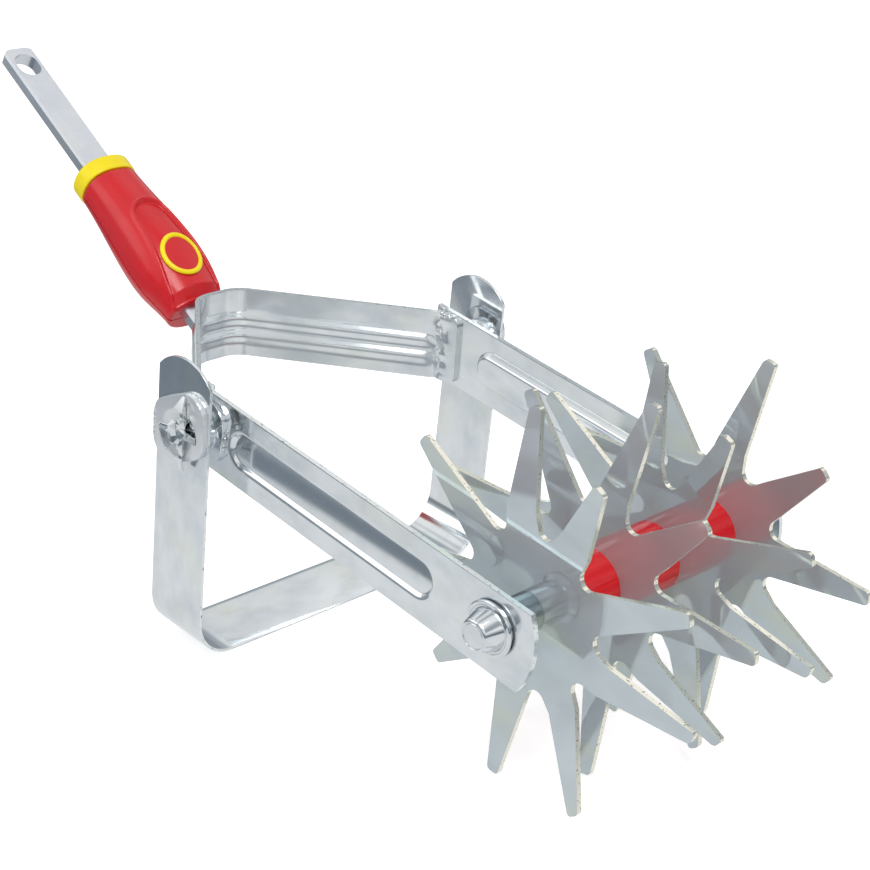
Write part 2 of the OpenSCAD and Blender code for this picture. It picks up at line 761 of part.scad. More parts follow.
// Points of a rounded-square ring at a distance x from the yoke
function ring(x, b, c, n) = [for (i = [0:n - 1]) let (a = 360 * i / n)
    [x, b * sign(cos(a)) * pow(abs(cos(a)), 0.84), c * sign(sin(a)) * pow(abs(sin(a)), 0.84) - grip_drop]];

// Skins a row of rings, closed with a flat face at each end
module loft(rings) {
    n = len(rings[0]);
    m = len(rings);
    polyhedron(
        points = [for (r = rings) for (p = r) p],
        faces = concat([[for (i = [0:n - 1]) i], [for (i = [n - 1:-1:0]) (m - 1) * n + i]],
            [for (j = [0:m - 2]) for (i = [0:n - 1]) let (k = (i + 1) % n)
                [j * n + i, (j + 1) * n + i, (j + 1) * n + k, j * n + k]]));
}

// The grip's body, all its faces drawn in by the same amount, with rounded ends
module grip_body(inset) {
    front = [for (a = [0:30:60]) [edge_r * (1 - cos(a)), edge_r * (1 - sin(a))]];
    body = [for (i = [0:14]) [edge_r + (grip_len - 2 * edge_r) * i / 14, 0]];
    rear = [for (a = [60:-30:0]) [grip_len - edge_r * (1 - cos(a)), edge_r * (1 - sin(a))]];
    loft([for (e = concat(front, body, rear)) let (f = e[0] / grip_len)
        ring(grip_front + e[0], grip_b(f) - e[1] - inset, grip_c(f) - e[1] - inset, 32)]);
}

module tang_channel(bottom) {
    w = tang_w + 2 * slip;
    translate([0, -w / 2, bottom]) cube([tang_len, w, slip - bottom]);
}

// The hollow cells between the ribs that hold the tang
module grip_cells() {
    difference() {
        intersection() {
            grip_body(grip_wall);
            for (i = [0:cells - 1])
                translate([cell_start + i * cell_step, -grip_b1, -2 * grip_c1])
                    cube([cell_step - cell_rib, 2 * grip_b1, 4 * grip_c1]);
        }
        for (x = screw_x) translate([x, 0, -2 * grip_c1]) cylinder(h = 4 * grip_c1, r = boss_r, $fn = medium);
    }
}

// The neck of the grip that the collar is pushed over
module grip_neck(grow) {
    len = collar_len - collar_wall + grow;
    loft([for (x = [grip_rear - edge_r * 2 - grow, grip_rear + len])
        ring(x, grip_b0 - collar_wall + grow, grip_c0 - collar_wall + grow, 32)]);
}

module half_space(above) {
    translate([0, -50, above ? parting_z : parting_z - 50]) cube([tang_len, 100, 50]);
}

module badge_outline(grow) {
    polygon([for (i = [0:39]) let (a = 9 * i)
        [(badge_len / 2 + grow) * cos(a), (badge_w / 2 + grow) * sin(a)]]);
}

module panel_outline() {
    len = grip_len * 0.72;
    translate([grip_front - over, -grip_b1 * 0.72]) square([len - 8, grip_b1 * 1.44]);
    translate([grip_front + len - 8, 0]) rounded(18, grip_b1 * 1.44, 8);
}

module grip_solid() {
    difference() {
        union() {
            grip_body(0);
            grip_neck(0);
        }
        grip_cells();
    }
}

module grip_upper() {
    color(red_plastic) place() difference() {
        tang_frame() difference() {
            intersection() {
                grip_solid();
                half_space(true);
            }
            tang_channel(parting_z - over);
            difference() {
                linear_extrude(2 * grip_c1) panel_outline();
                grip_body(panel_depth);
            }
            for (x = screw_x) translate([x, 0, -over]) cylinder(h = over + tang_t, r = screw_r + slip, $fn = medium);
        }
        badge_frame() translate([0, 0, -2]) linear_extrude(10) badge_outline(slip);
    }
}

module grip_lower() {
    color(red_plastic) place() tang_frame() difference() {
        union() {
            intersection() {
                grip_solid();
                half_space(false);
            }
            // Pads that bear on the tang from below, at the screws
            for (x = screw_x)
                translate([x - boss_r, -tang_w / 2 + slip, parting_z - slip])
                    cube([2 * boss_r, tang_w - 2 * slip, -tang_t - parting_z]);
        }
        for (x = screw_x) translate([x, 0, -2 * grip_c1]) {
            cylinder(h = 2 * grip_c1, r = screw_r + slip, $fn = medium);
            cylinder(h = 2 * grip_c1 + parting_z - 1.5, r = head_r + slip, $fn = medium);
        }
    }
}

module grip_screws() {
    color(bright_steel) place() tang_frame() for (x = screw_x) translate([x, 0, 0]) {
        translate([0, 0, parting_z - 1.5]) cylinder(h = tang_t - over - parting_z + 1.5, r = screw_r, $fn = medium);
        translate([0, 0, parting_z - 3.3]) difference() {
            cylinder(h = 1.8, r = head_r, $fn = medium);
            translate([0, 0, -over]) cylinder(h = 1 + over, r = 1.2, $fn = 6);
        }
    }
}

module grip_collar() {
    b = grip_b0 + 0.8;
    c = grip_c0 + 0.8;
    color(yellow_plastic) place() tang_frame() difference() {
        loft([for (e = [[0, 0.8], [0.25, 0.25], [0.8, 0], [collar_len - 1.5, 0],
                        [collar_len - 0.5, 0.5], [collar_len, 1.5]])
            ring(grip_rear + e[0], b - e[1], c - e[1], 32)]);
        grip_neck(slip);
        tang_channel(-tang_t - slip);
    }
}

module badge_ring() {
    color(yellow_plastic) place() badge_frame() translate([0, 0, slip - 2]) linear_extrude(2.4) difference() {
        badge_outline(0);
        badge_outline(-badge_ring_w);
    }
}

module badge_disc() {
    color(red_plastic) place() badge_frame() translate([0, 0, slip - 2]) linear_extrude(1.9)
        badge_outline(-badge_ring_w - slip);
}

tang();
grip_upper();
grip_lower();
grip_collar();
badge_ring();
badge_disc();
grip_screws();
yoke();
arm_near();
arm_far();
pivot_lug_near();
pivot_lug_far();
stirrup_blade();
pivot_plate_near();
pivot_plate_far();
axle_rod();
hub_cap_near();
hub_cap_far();
end_sleeve_near();
end_sleeve_far();
star_wheel_1();
star_wheel_2();
star_wheel_3();
star_wheel_4();
spacer_tube_1();
spacer_tube_2();
spacer_tube_3();
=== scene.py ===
"""Dresses the garden tiller head: zinc plated strip steel, a moulded grip and a star roller."""

import json
import logging
from dataclasses import dataclass, field
from enum import Enum
from math import cos, exp, hypot, pi, radians, sin, tan
from typing import Callable

import bpy
from bpy.types import ID, Material, Node, NodeSocket, NodeTree, Object, World
from mathutils import Matrix, Vector, noise

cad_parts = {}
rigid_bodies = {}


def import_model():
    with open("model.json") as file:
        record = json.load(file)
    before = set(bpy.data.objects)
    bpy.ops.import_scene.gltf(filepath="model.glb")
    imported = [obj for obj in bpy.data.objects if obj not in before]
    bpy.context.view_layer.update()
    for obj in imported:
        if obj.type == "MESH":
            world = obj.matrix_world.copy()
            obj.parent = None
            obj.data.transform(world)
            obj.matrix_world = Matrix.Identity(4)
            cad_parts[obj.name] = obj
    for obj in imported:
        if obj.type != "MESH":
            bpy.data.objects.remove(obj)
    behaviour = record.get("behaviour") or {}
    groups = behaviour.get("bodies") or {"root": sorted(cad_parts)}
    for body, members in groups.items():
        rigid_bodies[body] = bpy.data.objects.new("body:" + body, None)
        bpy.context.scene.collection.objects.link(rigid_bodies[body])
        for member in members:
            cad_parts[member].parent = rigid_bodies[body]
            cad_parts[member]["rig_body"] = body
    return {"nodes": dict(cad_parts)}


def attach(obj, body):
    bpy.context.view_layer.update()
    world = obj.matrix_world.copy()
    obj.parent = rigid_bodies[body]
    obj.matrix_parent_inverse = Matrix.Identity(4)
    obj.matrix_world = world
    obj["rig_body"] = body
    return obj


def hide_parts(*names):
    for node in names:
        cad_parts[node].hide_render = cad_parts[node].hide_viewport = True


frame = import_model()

logging.basicConfig(level=logging.INFO, format="%(message)s")
log = logging.getLogger("tiller")

MM = 0.001
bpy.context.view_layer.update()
Triple = tuple[float, float, float]
# Sign of Y on each side of the tool
SIDES = {"near": -1, "far": 1}
# Faces round a turned part, and round the badge
ROUND_STEPS = 96


class Body(Enum):
    """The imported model's moving bodies."""

    FRAME = "frame"
    ROLLER = "roller"
    HOE = "hoe"


class Part(Enum):
    """What kind of mesh element a selection picks."""

    EDGE = "EDGE"
    FACE = "FACE"


# Frames of the tool, in which its pieces are drawn


@dataclass(frozen=True)
class Layout:
    """Places and slopes of the tool's parts as it stands on the ground, lengths in metres."""

    arm_slope: float = radians(10.3681)
    axle: Vector = field(default_factory=lambda: Vector((147.312, 0, 67.0006)) * MM)
    pivot: Vector = field(default_factory=lambda: Vector((0.5105, 0, 92.5377)) * MM)
    hoe_lean: float = radians(4.4)
    yoke_rise: float = radians(6.6)
    yoke_middle: Vector = field(default_factory=lambda: Vector((-74.889, 0, 97.158)) * MM)
    tang_root: Vector = field(default_factory=lambda: Vector((-75.7803, 0, 97.3211)) * MM)
    tang_rise: float = radians(34.3681)

    def turned(self, place: Vector, angle: float) -> Matrix:
        """A frame at a place, turned about the tool's cross axis.

        Args:
            place: Origin of the frame.
            angle: Turn about +Y, in radians.
        Returns:
            The matrix from the frame to the tool.
        """
        return Matrix.Translation(place) @ Matrix.Rotation(angle, 4, "Y")

    def arms(self) -> Matrix:
        """Frame on the wheel axle, with X along the arms."""
        return self.turned(self.axle, self.arm_slope)

    def at_pivot(self) -> Matrix:
        """Frame on the hoe's pivot, with X along the arms."""
        return self.turned(self.pivot, self.arm_slope)

    def hoe(self) -> Matrix:
        """Frame on the hoe's pivot, with Z up the legs."""
        return self.turned(self.pivot, self.arm_slope - self.hoe_lean)

    def yoke(self) -> Matrix:
        """Frame in the middle of the yoke, with X towards the arms."""
        return self.turned(self.yoke_middle, self.arm_slope - self.yoke_rise)

    def tang(self) -> Matrix:
        """Frame at the foot of the tang, with X along it and Z out of its top face."""
        along, out = cos(self.tang_rise), sin(self.tang_rise)
        return Matrix.Translation(self.tang_root) @ Matrix((
            (-along, 0, out, 0), (0, -1, 0, 0), (out, 0, along, 0), (0, 0, 0, 1)))


LAYOUT = Layout()


# Materials


def linear(hex_colour: str) -> tuple[float, float, float, float]:
    """Turn an sRGB hex colour to the linear colour that a shader takes.

    Args:
        hex_colour: Colour such as "#c9cfd5".
    Returns:
        Linear red, green, blue and alpha.
    """
    parts = [int(hex_colour[i:i + 2], 16) / 255 for i in (1, 3, 5)]
    r, g, b = [c / 12.92 if c <= 0.04045 else ((c + 0.055) / 1.055) ** 2.4 for c in parts]
    return (r, g, b, 1.0)


def add_node(tree: NodeTree, kind: str, inputs: dict | None = None,
             **settings: object) -> Node:
    """Add a shader node with its settings, values and links.

    Args:
        tree: Node tree that takes the node.
        kind: Type name of the node, after the words that all of them start with.
        inputs: Value or output socket for each input, by name or number.
        **settings: Properties of the node.
    Returns:
        The new node.
    """
    node = tree.nodes.new("ShaderNode" + kind)
    for name, value in settings.items():
        setattr(node, name, value)
    for key, value in (inputs or {}).items():
        if isinstance(value, NodeSocket):
            tree.links.new(value, node.inputs[key])
        else:
            node.inputs[key].default_value = value
    return node


def add_ramp(tree: NodeTree, source: NodeSocket,
             stops: list[tuple[float, str]]) -> NodeSocket:
    """Colour a pattern's value by a row of stops.

    Args:
        tree: Node tree that takes the ramp.
        source: Value from 0 to 1.
        stops: Position and hex colour of each stop, in rising order.
    Returns:
        The colour output.
    """
    node = add_node(tree, "ValToRGB", {"Fac": source})
    ramp = node.color_ramp
    while len(ramp.elements) < len(stops):
        ramp.elements.new(1.0)
    for element, (place, colour) in zip(ramp.elements, stops):
        element.position = place
        element.color = linear(colour)
    return node.outputs["Color"]


def empty_tree(owner: Material | World) -> NodeTree:
    """Give a material or a world an empty node tree.

    Args:
        owner: What the nodes are for.
    Returns:
        Its node tree.
    """
    owner.use_nodes = True
    owner.node_tree.nodes.clear()
    return owner.node_tree


def map_range(tree: NodeTree, value: NodeSocket, ends: tuple[float, float],
              results: tuple[float, float] = (0.0, 1.0)) -> NodeSocket:
    """Turn a range of a value into another, held beyond its ends.

    Args:
        tree: Node tree that takes the step.
        value: Value to turn.
        ends: Both ends of its range.
        results: What the two ends give.
    Returns:
        The result's output.
    """
    return add_node(tree, "MapRange", {
        "Value": value, "From Min": ends[0], "From Max": ends[1],
        "To Min": results[0], "To Max": results[1]}).outputs["Result"]


def mix_colours(tree: NodeTree, share: NodeSocket | float, first: NodeSocket | tuple,
                second: NodeSocket | tuple, blend: str = "MIX") -> NodeSocket:
    """Mix two colours.

    Args:
        tree: Node tree that takes the mix.
        share: Share of the second colour.
        first: First colour.
        second: Second colour.
        blend: How the second goes over the first.
    Returns:
        The mixed colour's output.
    """
    return add_node(tree, "Mix", {"Factor": share, 6: first, 7: second},
                    data_type="RGBA", blend_type=blend).outputs[2]


@dataclass(frozen=True)
class Pattern:
    """A noise whose grain has a real size along each of a piece's own directions."""

    size_mm: Triple
    turn: float = 0.0
    detail: float = 2.0
    place_mm: Triple = (0.0, 0.0, 0.0)

    def value(self, tree: NodeTree) -> NodeSocket:
        """Build the noise.

        Args:
            tree: Node tree that takes it.
        Returns:
            Its value output, near 0.5 on average.
        """
        where = add_node(tree, "TexCoord")
        mapped = add_node(tree, "Mapping", {
            "Vector": where.outputs["Object"],
            "Location": [v * MM for v in self.place_mm],
            "Rotation": (0.0, self.turn, 0.0),
            "Scale": [v * MM for v in self.size_mm]}, vector_type="TEXTURE")
        return add_node(tree, "TexNoise", {
            "Vector": mapped.outputs["Vector"], "Scale": 1.0, "Detail": self.detail,
            "Roughness": 0.55}).outputs["Fac"]


@dataclass(frozen=True)
class SheetEdge:
    """Which faces of a piece are its sheared edges, told by their slope to an axis."""

    axis: Triple = (0.0, 1.0, 0.0)
    none_at: float = 0.5
    all_at: float = 0.3

    def share(self, tree: NodeTree) -> NodeSocket:
        """Build the mask, 1 on edges and 0 on the sheet's two sides.

        Args:
            tree: Node tree that takes it.
        Returns:
            The mask's output.
        """
        where = add_node(tree, "TexCoord")
        along = add_node(tree, "VectorMath", {
            0: where.outputs["Normal"], 1: self.axis}, operation="DOT_PRODUCT")
        size = add_node(tree, "Math", {0: along.outputs["Value"]}, operation="ABSOLUTE")
        return map_range(tree, size.outputs["Value"], (self.none_at, self.all_at))


@dataclass(frozen=True)
class ZincPlate:
    """Bright zinc electroplate on cold rolled strip steel.

    It shows as a pale bluish mirror, a little clouded: soft patches where the plating is
    thicker, faint rolling lines along the strip, a yellow and blue cast from passivation,
    and pale, rougher sheared edges with dark torn spots. A matt film may lie over it.
    """

    name: str
    body: str = "#e0e4e7"
    cloud: str = "#cfd5da"
    cast: str = "#dedec4"
    cast_share: float = 0.25
    metal: float = 0.9
    roughness: float = 0.08
    haze: float = 0.08
    turn: float = 0.0
    ripple_mm: float = 26.0
    ripple_depth: float = 0.00006
    edge: SheetEdge | None = None
    edge_colour: str = "#e6eaea"
    torn_colour: str = "#8b8f8e"
    edge_roughness: float = 0.16
    veil: float = 0.0
    edge_veil: float = 0.1
    veil_colour: str = "#cfcbcf"

    def build(self) -> Material:
        """Make the material.

        Returns:
            The finished material.
        """
        material = bpy.data.materials.new(self.name)
        tree = empty_tree(material)
        # Plating clouds are about 18 mm across; rolling lines are drawn 0.5 mm apart, coarser
        # than the real 0.05 mm, so that they show
        cloud = Pattern((18, 18, 12), self.turn, 3).value(tree)
        lines = Pattern((45, 0.5, 0.5), self.turn, 1).value(tree)
        passivation = Pattern((34, 21, 15), self.turn, 2, (7, 3, 5)).value(tree)
        plating = add_ramp(tree, cloud, [(0.3, self.cloud), (0.62, self.body)])
        share = map_range(tree, passivation, (0.5, 0.72), (0.0, self.cast_share))
        colour = mix_colours(tree, share, plating, linear(self.cast))
        rough = map_range(tree, cloud, (0.35, 0.7), (self.roughness + self.haze, self.roughness))
        veil = self.veil
        if self.edge:
            # Torn spots of a sheared edge, about 0.7 mm apart
            torn = Pattern((1.4, 0.9, 0.6), self.turn, 2).value(tree)
            edge = add_ramp(tree, torn, [(0.32, self.torn_colour), (0.39, self.edge_colour)])
            mask = self.edge.share(tree)
            colour = mix_colours(tree, mask, colour, edge)
            rough = add_node(tree, "Mix", {
                0: mask, 2: rough, 3: self.edge_roughness}).outputs[0]
            veil = map_range(tree, mask, (0.0, 1.0), (self.veil, self.edge_veil))
        # Waves of the sheet, and on them the rolling lines, 0.02 mm deep at full strength
        ripple = Pattern((self.ripple_mm,) * 3, self.turn, 1).value(tree)
        bump = add_node(tree, "Bump", {
            "Height": ripple, "Strength": 1.0, "Distance": self.ripple_depth})
        grain = add_node(tree, "Bump", {
            "Height": lines, "Strength": 0.12, "Distance": 0.00002,
            "Normal": bump.outputs["Normal"]})
        surface = add_node(tree, "BsdfPrincipled", {
            "Base Color": colour, "Metallic": self.metal, "Roughness": rough,
            "Normal": grain.outputs["Normal"]}).outputs["BSDF"]
        if self.veil:
            # A matt passivation film over the mirror
            film = add_node(tree, "BsdfDiffuse", {"Color": linear(self.veil_colour)})
            surface = add_node(tree, "MixShader", {
                0: veil, 1: surface, 2: film.outputs["BSDF"]}).outputs["Shader"]
        add_node(tree, "OutputMaterial", {"Surface": surface})
        return material


@dataclass(frozen=True)
class MouldedPlastic:
    """Injection moulded polypropylene or ABS.

    Its colour is even, with a slightly duller patch here and there; the mould leaves a fine
    eggshell grain on handled surfaces and none on polished ones.
    """

    name: str
    body: str
    dull: str
    roughness: float = 0.3
    grain_mm: float = 0.5
    grain_depth: float = 0.00002
    coat: float = 0.0
    turn: float = 0.0
    draw: bool = False

    def build(self) -> Material:
        """Make the material.

        Returns:
            The finished material.
        """
        material = bpy.data.materials.new(self.name)
        tree = empty_tree(material)
        # Colour and gloss drift over about 15 mm; an extruded tube has drawing lines instead
        drift = Pattern((0.7, 60, 0.7) if self.draw else (15, 15, 15), self.turn, 2).value(tree)
        grain = Pattern((self.grain_mm,) * 3, self.turn, 1).value(tree)
        colour = add_ramp(tree, drift, [(0.32, self.dull), (0.6, self.body)])
        rough = map_range(tree, drift, (0.3, 0.7), (self.roughness + 0.07, self.roughness - 0.03))
        bump = add_node(tree, "Bump", {
            "Height": grain, "Strength": 0.5, "Distance": self.grain_depth})
        shader = add_node(tree, "BsdfPrincipled", {
            "Base Color": colour, "Roughness": rough, "Coat Weight": self.coat,
            "Coat Roughness": 0.08, "IOR": 1.49, "Normal": bump.outputs["Normal"]})
        add_node(tree, "OutputMaterial", {"Surface": shader.outputs["BSDF"]})
        return material


@dataclass(frozen=True)
class Finishes:
    """All finishes of the tool, each made once."""

    arm: Material
    yoke: Material
    blade: Material
    star: Material
    lug: Material
    bar: Material
    pressed: Material
    turned: Material
    sleeve: Material
    weld: Material
    red: Material
    yellow: Material
    tube: Material

    @classmethod
    def make(cls) -> "Finishes":
        """Build every finish.

        Returns:
            The set of materials.
        """
        slope = LAYOUT.arm_slope
        across = SheetEdge()
        return cls(
            arm=ZincPlate("zinc_arm_strip", turn=slope, edge=across).build(),
            yoke=ZincPlate("zinc_yoke_strip", turn=slope, ripple_mm=14, ripple_depth=0.0001,
                           roughness=0.19,
                           edge=SheetEdge((0.0, 0.0, 1.0), 0.85, 0.97)).build(),
            blade=ZincPlate("zinc_spring_steel", turn=slope - LAYOUT.hoe_lean + pi / 2,
                            roughness=0.06, edge=SheetEdge((1.0, 0.0, 0.0), 0.85, 0.97)).build(),
            star=ZincPlate("passivated_star", body="#b9ced4", cloud="#a5b9bf", cast="#c8d2ac",
                           cast_share=0.55, metal=1.0, roughness=0.02, haze=0.04, turn=slope,
                           veil=0.42, veil_colour="#d0cdd0",
                           ripple_depth=0.00002, edge=across, edge_colour="#f4f1e0").build(),
            lug=ZincPlate("crumpled_zinc_lug", turn=slope, ripple_mm=5, ripple_depth=0.0002,
                          metal=1.0, roughness=0.1).build(),
            bar=ZincPlate("satin_zinc_bar", body="#d6dae0", cloud="#cfd3da",
                          turn=-LAYOUT.tang_rise, roughness=0.2, ripple_depth=0.00002).build(),
            pressed=ZincPlate("pressed_zinc_plate", body="#dfe2e5", roughness=0.12, metal=1.0,
                              veil=0.5, veil_colour="#d6dade", turn=slope,
                              ripple_depth=0.00002).build(),
            turned=ZincPlate("bright_turned_zinc", body="#dfe2e5", roughness=0.06, haze=0.05,
                             metal=1.0, ripple_depth=0.00002, turn=slope).build(),
            sleeve=ZincPlate("dull_turned_zinc", body="#b9c4ca", cloud="#a5b0b7", roughness=0.1,
                             metal=1.0, ripple_depth=0.00002, turn=slope).build(),
            weld=ZincPlate("zinc_weld", body="#dfe2e4", cloud="#9aa1a6", metal=1.0,
                           roughness=0.15, ripple_mm=1.6, ripple_depth=0.0004).build(),
            red=MouldedPlastic("red_moulding", "#cd0b19", "#c60a18", roughness=0.28,
                               grain_depth=0.000008, coat=0.1).build(),
            yellow=MouldedPlastic("yellow_moulding", "#f4e000", "#efd800", roughness=0.3).build(),
            tube=MouldedPlastic("red_extruded_tube", "#dd0d18", "#cf0a14", roughness=0.16,
                                coat=0.4, draw=True, turn=slope).build())


# Modelling helpers


def clear_selection() -> None:
    """Leave edit mode and deselect every object."""
    if bpy.context.object and bpy.context.object.mode != "OBJECT":
        leave_edit()
    bpy.ops.object.select_all(action="DESELECT")


def activate(piece: Object) -> None:
    """Select one object alone and make it the active one.

    Args:
        piece: Object to work on.
    """
    clear_selection()
    piece.select_set(True)
    bpy.context.view_layer.objects.active = piece


def leave_edit() -> None:
    """Go back to object mode."""
    bpy.ops.object.mode_set(mode="OBJECT")


def face_out() -> None:
    """Turn all faces of the mesh in edit mode outwards, and leave edit mode."""
    bpy.ops.mesh.select_all(action="SELECT")
    bpy.ops.mesh.normals_make_consistent(inside=False)
    leave_edit()


def new_object(name: str, data: ID) -> Object:
    """Put a mesh, a lamp or a lens into the scene as an object.

    Args:
        name: Name of the object.
        data: What it shows.
    Returns:
        The object.
    """
    made = bpy.data.objects.new(name, data)
    bpy.context.scene.collection.objects.link(made)
    return made


def add_shape(add: Callable, scale: Triple = (1, 1, 1),
              **settings: object) -> Object:
    """Add a basic shape, with its place, turn and scale worked into its mesh.

    Args:
        add: Operator that adds it.
        scale: Its scale along its own axes.
        **settings: Settings of the operator.
    Returns:
        The new object.
    """
    clear_selection()
    add(**settings)
    piece = bpy.context.object
    piece.scale = scale
    bpy.ops.object.transform_apply(location=True, rotation=True, scale=True)
    return piece


def pick(piece: Object, part: Part = Part.FACE,
         test: Callable[[Vector], bool] = lambda p: True) -> None:
    """Enter edit mode with the edges or faces selected whose middle passes a test.

    Args:
        piece: Mesh object.
        part: Kind of element.
        test: Says of a point, in the mesh's own frame, whether it is picked.
    """
    activate(piece)
    bpy.context.tool_settings.mesh_select_mode = (False, part is Part.EDGE, part is Part.FACE)
    mesh = piece.data
    for group in (mesh.vertices, mesh.edges, mesh.polygons):
        group.foreach_set("select", [False] * len(group))
    if part is Part.EDGE:
        group = mesh.edges
        points = [(mesh.vertices[e.vertices[0]].co + mesh.vertices[e.vertices[1]].co) / 2
                  for e in mesh.edges]
    else:
        group = mesh.polygons
        points = [f.center for f in mesh.polygons]
    group.foreach_set("select", [test(p) for p in points])
    bpy.ops.object.mode_set(mode="EDIT")


def apply_modifier(piece: Object, kind: str, **settings: object) -> None:
    """Add a modifier with its settings and apply it.

    Args:
        piece: Object to change.
        kind: Type name of the modifier.
        **settings: Properties of the modifier.
    """
    activate(piece)
    modifier = piece.modifiers.new(kind.title(), kind)
    for name, value in settings.items():
        setattr(modifier, name, value)
    bpy.ops.object.modifier_apply(modifier=modifier.name)


def soften(piece: Object, width_mm: float, above: float = 40.0) -> None:
    """Round all edges sharper than an angle.

    Args:
        piece: Object to change.
        width_mm: Width of the rounding.
        above: Least angle between the two faces, in degrees.
    """
    apply_modifier(piece, "BEVEL", width=width_mm * MM, segments=2, limit_method="ANGLE",
                   angle_limit=radians(above), harden_normals=False)


def ease(share: float) -> float:
    """Smooth step from 0 to 1."""
    share = min(1.0, max(0.0, share))
    return share * share * (3 - 2 * share)


def turned_part(profile_mm: tuple[tuple[float, float], ...]) -> Object:
    """Turn a profile once about the Y axis.

    Args:
        profile_mm: Radius and place along Y of each corner, from the bore outwards.
    Returns:
        The turned part.
    """
    part = add_shape(bpy.ops.mesh.primitive_plane_add, size=MM)
    bpy.ops.object.mode_set(mode="EDIT")
    bpy.context.tool_settings.mesh_select_mode = (True, False, False)
    bpy.ops.mesh.select_all(action="SELECT")
    bpy.ops.mesh.merge(type="CENTER")
    radius, along = profile_mm[0]
    bpy.ops.transform.translate(value=(radius * MM, along * MM, 0))
    for new_radius, new_along in profile_mm[1:]:
        bpy.ops.mesh.extrude_region_move(TRANSFORM_OT_translate={
            "value": ((new_radius - radius) * MM, (new_along - along) * MM, 0)})
        radius, along = new_radius, new_along
    bpy.ops.mesh.select_all(action="SELECT")
    bpy.ops.mesh.spin(steps=ROUND_STEPS, angle=2 * pi, axis=(0, 1, 0), center=(0, 0, 0))
    bpy.ops.mesh.select_all(action="SELECT")
    bpy.ops.mesh.remove_doubles(threshold=0.000005)
    face_out()
    return part


def on_side(side: str, x_mm: float, y_mm: float, z_mm: float) -> Vector:
    """A place that is given for the far side, on either side of the tool."""
    return Vector((x_mm, SIDES[side] * y_mm, z_mm)) * MM


def weld_run(spots: list[Vector], radius_mm: float, seed: int) -> Object:
    """Lay a row of small overlapping weld drops.

    Args:
        spots: Middle of each drop.
        radius_mm: Radius of the first drop.
        seed: Picks the sizes of the others.
    Returns:
        All drops as one mesh.
    """
    add_drop = bpy.ops.mesh.primitive_ico_sphere_add
    run = add_shape(add_drop, subdivisions=3, radius=radius_mm * MM, location=spots[0])
    bpy.ops.object.mode_set(mode="EDIT")
    for i, spot in enumerate(spots[1:]):
        size = 0.8 + 0.3 * sin(2.1 * i + seed)
        add_drop(subdivisions=3, radius=radius_mm * MM * size, location=spot)
    bpy.ops.mesh.select_all(action="SELECT")
    leave_edit()
    apply_modifier(run, "REMESH", mode="VOXEL", voxel_size=0.25 * MM)
    crumple(run, 1.3, lambda p: 0.5)
    return run


def crumple(piece: Object, grain_mm: float, amount_mm: Callable[[Vector], float]) -> None:
    """Push a mesh in and out along its normals by a noise.

    Args:
        piece: Mesh in its own frame.
        grain_mm: Size of the noise's lumps.
        amount_mm: Height of the lumps at a point.
    """
    mesh = piece.data
    moves = [v.normal * noise.noise(v.co / (grain_mm * MM)) * amount_mm(v.co) * MM
             for v in mesh.vertices]
    for v, move in zip(mesh.vertices, moves):
        v.co += move


def finish_piece(piece: Object, name: str, body: Body, material: Material, slot: str,
                 *nodes: str, place: Matrix | None = None, smooth: float = 35.0) -> None:
    """Put a mesh in its place, dress it, and hang it on its body.

    Args:
        piece: Mesh object, drawn in its own frame.
        name: Name of the finished piece.
        body: Body it moves with.
        material: Its finish.
        slot: Material slot of the record; not used.
        *nodes: CAD nodes it stands for.
        place: Matrix from its own frame to the tool.
        smooth: Angle up to which faces shade as one, in degrees.
    """
    activate(piece)
    piece.name = name
    if place is not None:
        piece.matrix_world = place @ piece.matrix_world
    bpy.ops.object.transform_apply(location=True, rotation=True, scale=True)
    bpy.ops.object.shade_smooth_by_angle(angle=radians(smooth))
    apply_modifier(piece, "WEIGHTED_NORMAL", keep_sharp=True)
    piece.data.materials.clear()
    piece.data.materials.append(material)
    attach(piece, body.value)
    if nodes:
        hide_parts(*nodes)
    log.info("%s: %d faces on body %s", name, len(piece.data.polygons), body.value)


def copy_of(node: str) -> Object:
    """Copy a CAD node's mesh, with its loose triangles merged and flat areas joined.

    Args:
        node: Name of the CAD node.
    Returns:
        The new object.
    """
    clear_selection()
    piece = new_object(node + "_copy", frame["nodes"][node].data.copy())
    activate(piece)
    bpy.ops.object.mode_set(mode="EDIT")
    bpy.ops.mesh.select_all(action="SELECT")
    bpy.ops.mesh.remove_doubles(threshold=0.000002)
    bpy.ops.mesh.dissolve_limited(angle_limit=radians(0.5))
    leave_edit()
    return piece


def dress_node(node: str, material: Material) -> None:
    """Give a CAD node that stays in view its finish.

    Args:
        node: Name of the CAD node.
        material: Its finish.
    """
    shown = frame["nodes"][node]
    shown.data.materials.clear()
    shown.data.materials.append(material)
    log.info("%s: CAD node dressed", node)


# Sub-assemblies


@dataclass
class Assembly:
    """A part of the tool, made with the shared finishes."""

    finishes: Finishes


@dataclass
class StarRoller(Assembly):
    """Four toothed stars and the red spacer tubes between them, which turn together."""

    stars: int = 4
    star_edge_mm: float = 0.25
    tube_edge_mm: float = 0.3

    def build(self) -> None:
        """Make the stars and the tubes between them."""
        for i in range(1, self.stars + 1):
            node = f"star_wheel_{i}"
            star = copy_of(node)
            soften(star, self.star_edge_mm)
            finish_piece(star, f"star_plate_{i}", Body.ROLLER, self.finishes.star, "star_steel",
                         node, smooth=32)
        for i in range(1, self.stars):
            node = f"spacer_tube_{i}"
            tube = copy_of(node)
            soften(tube, self.tube_edge_mm)
            finish_piece(tube, f"red_spacer_{i}", Body.ROLLER, self.finishes.tube,
                         "spacer_plastic", node)


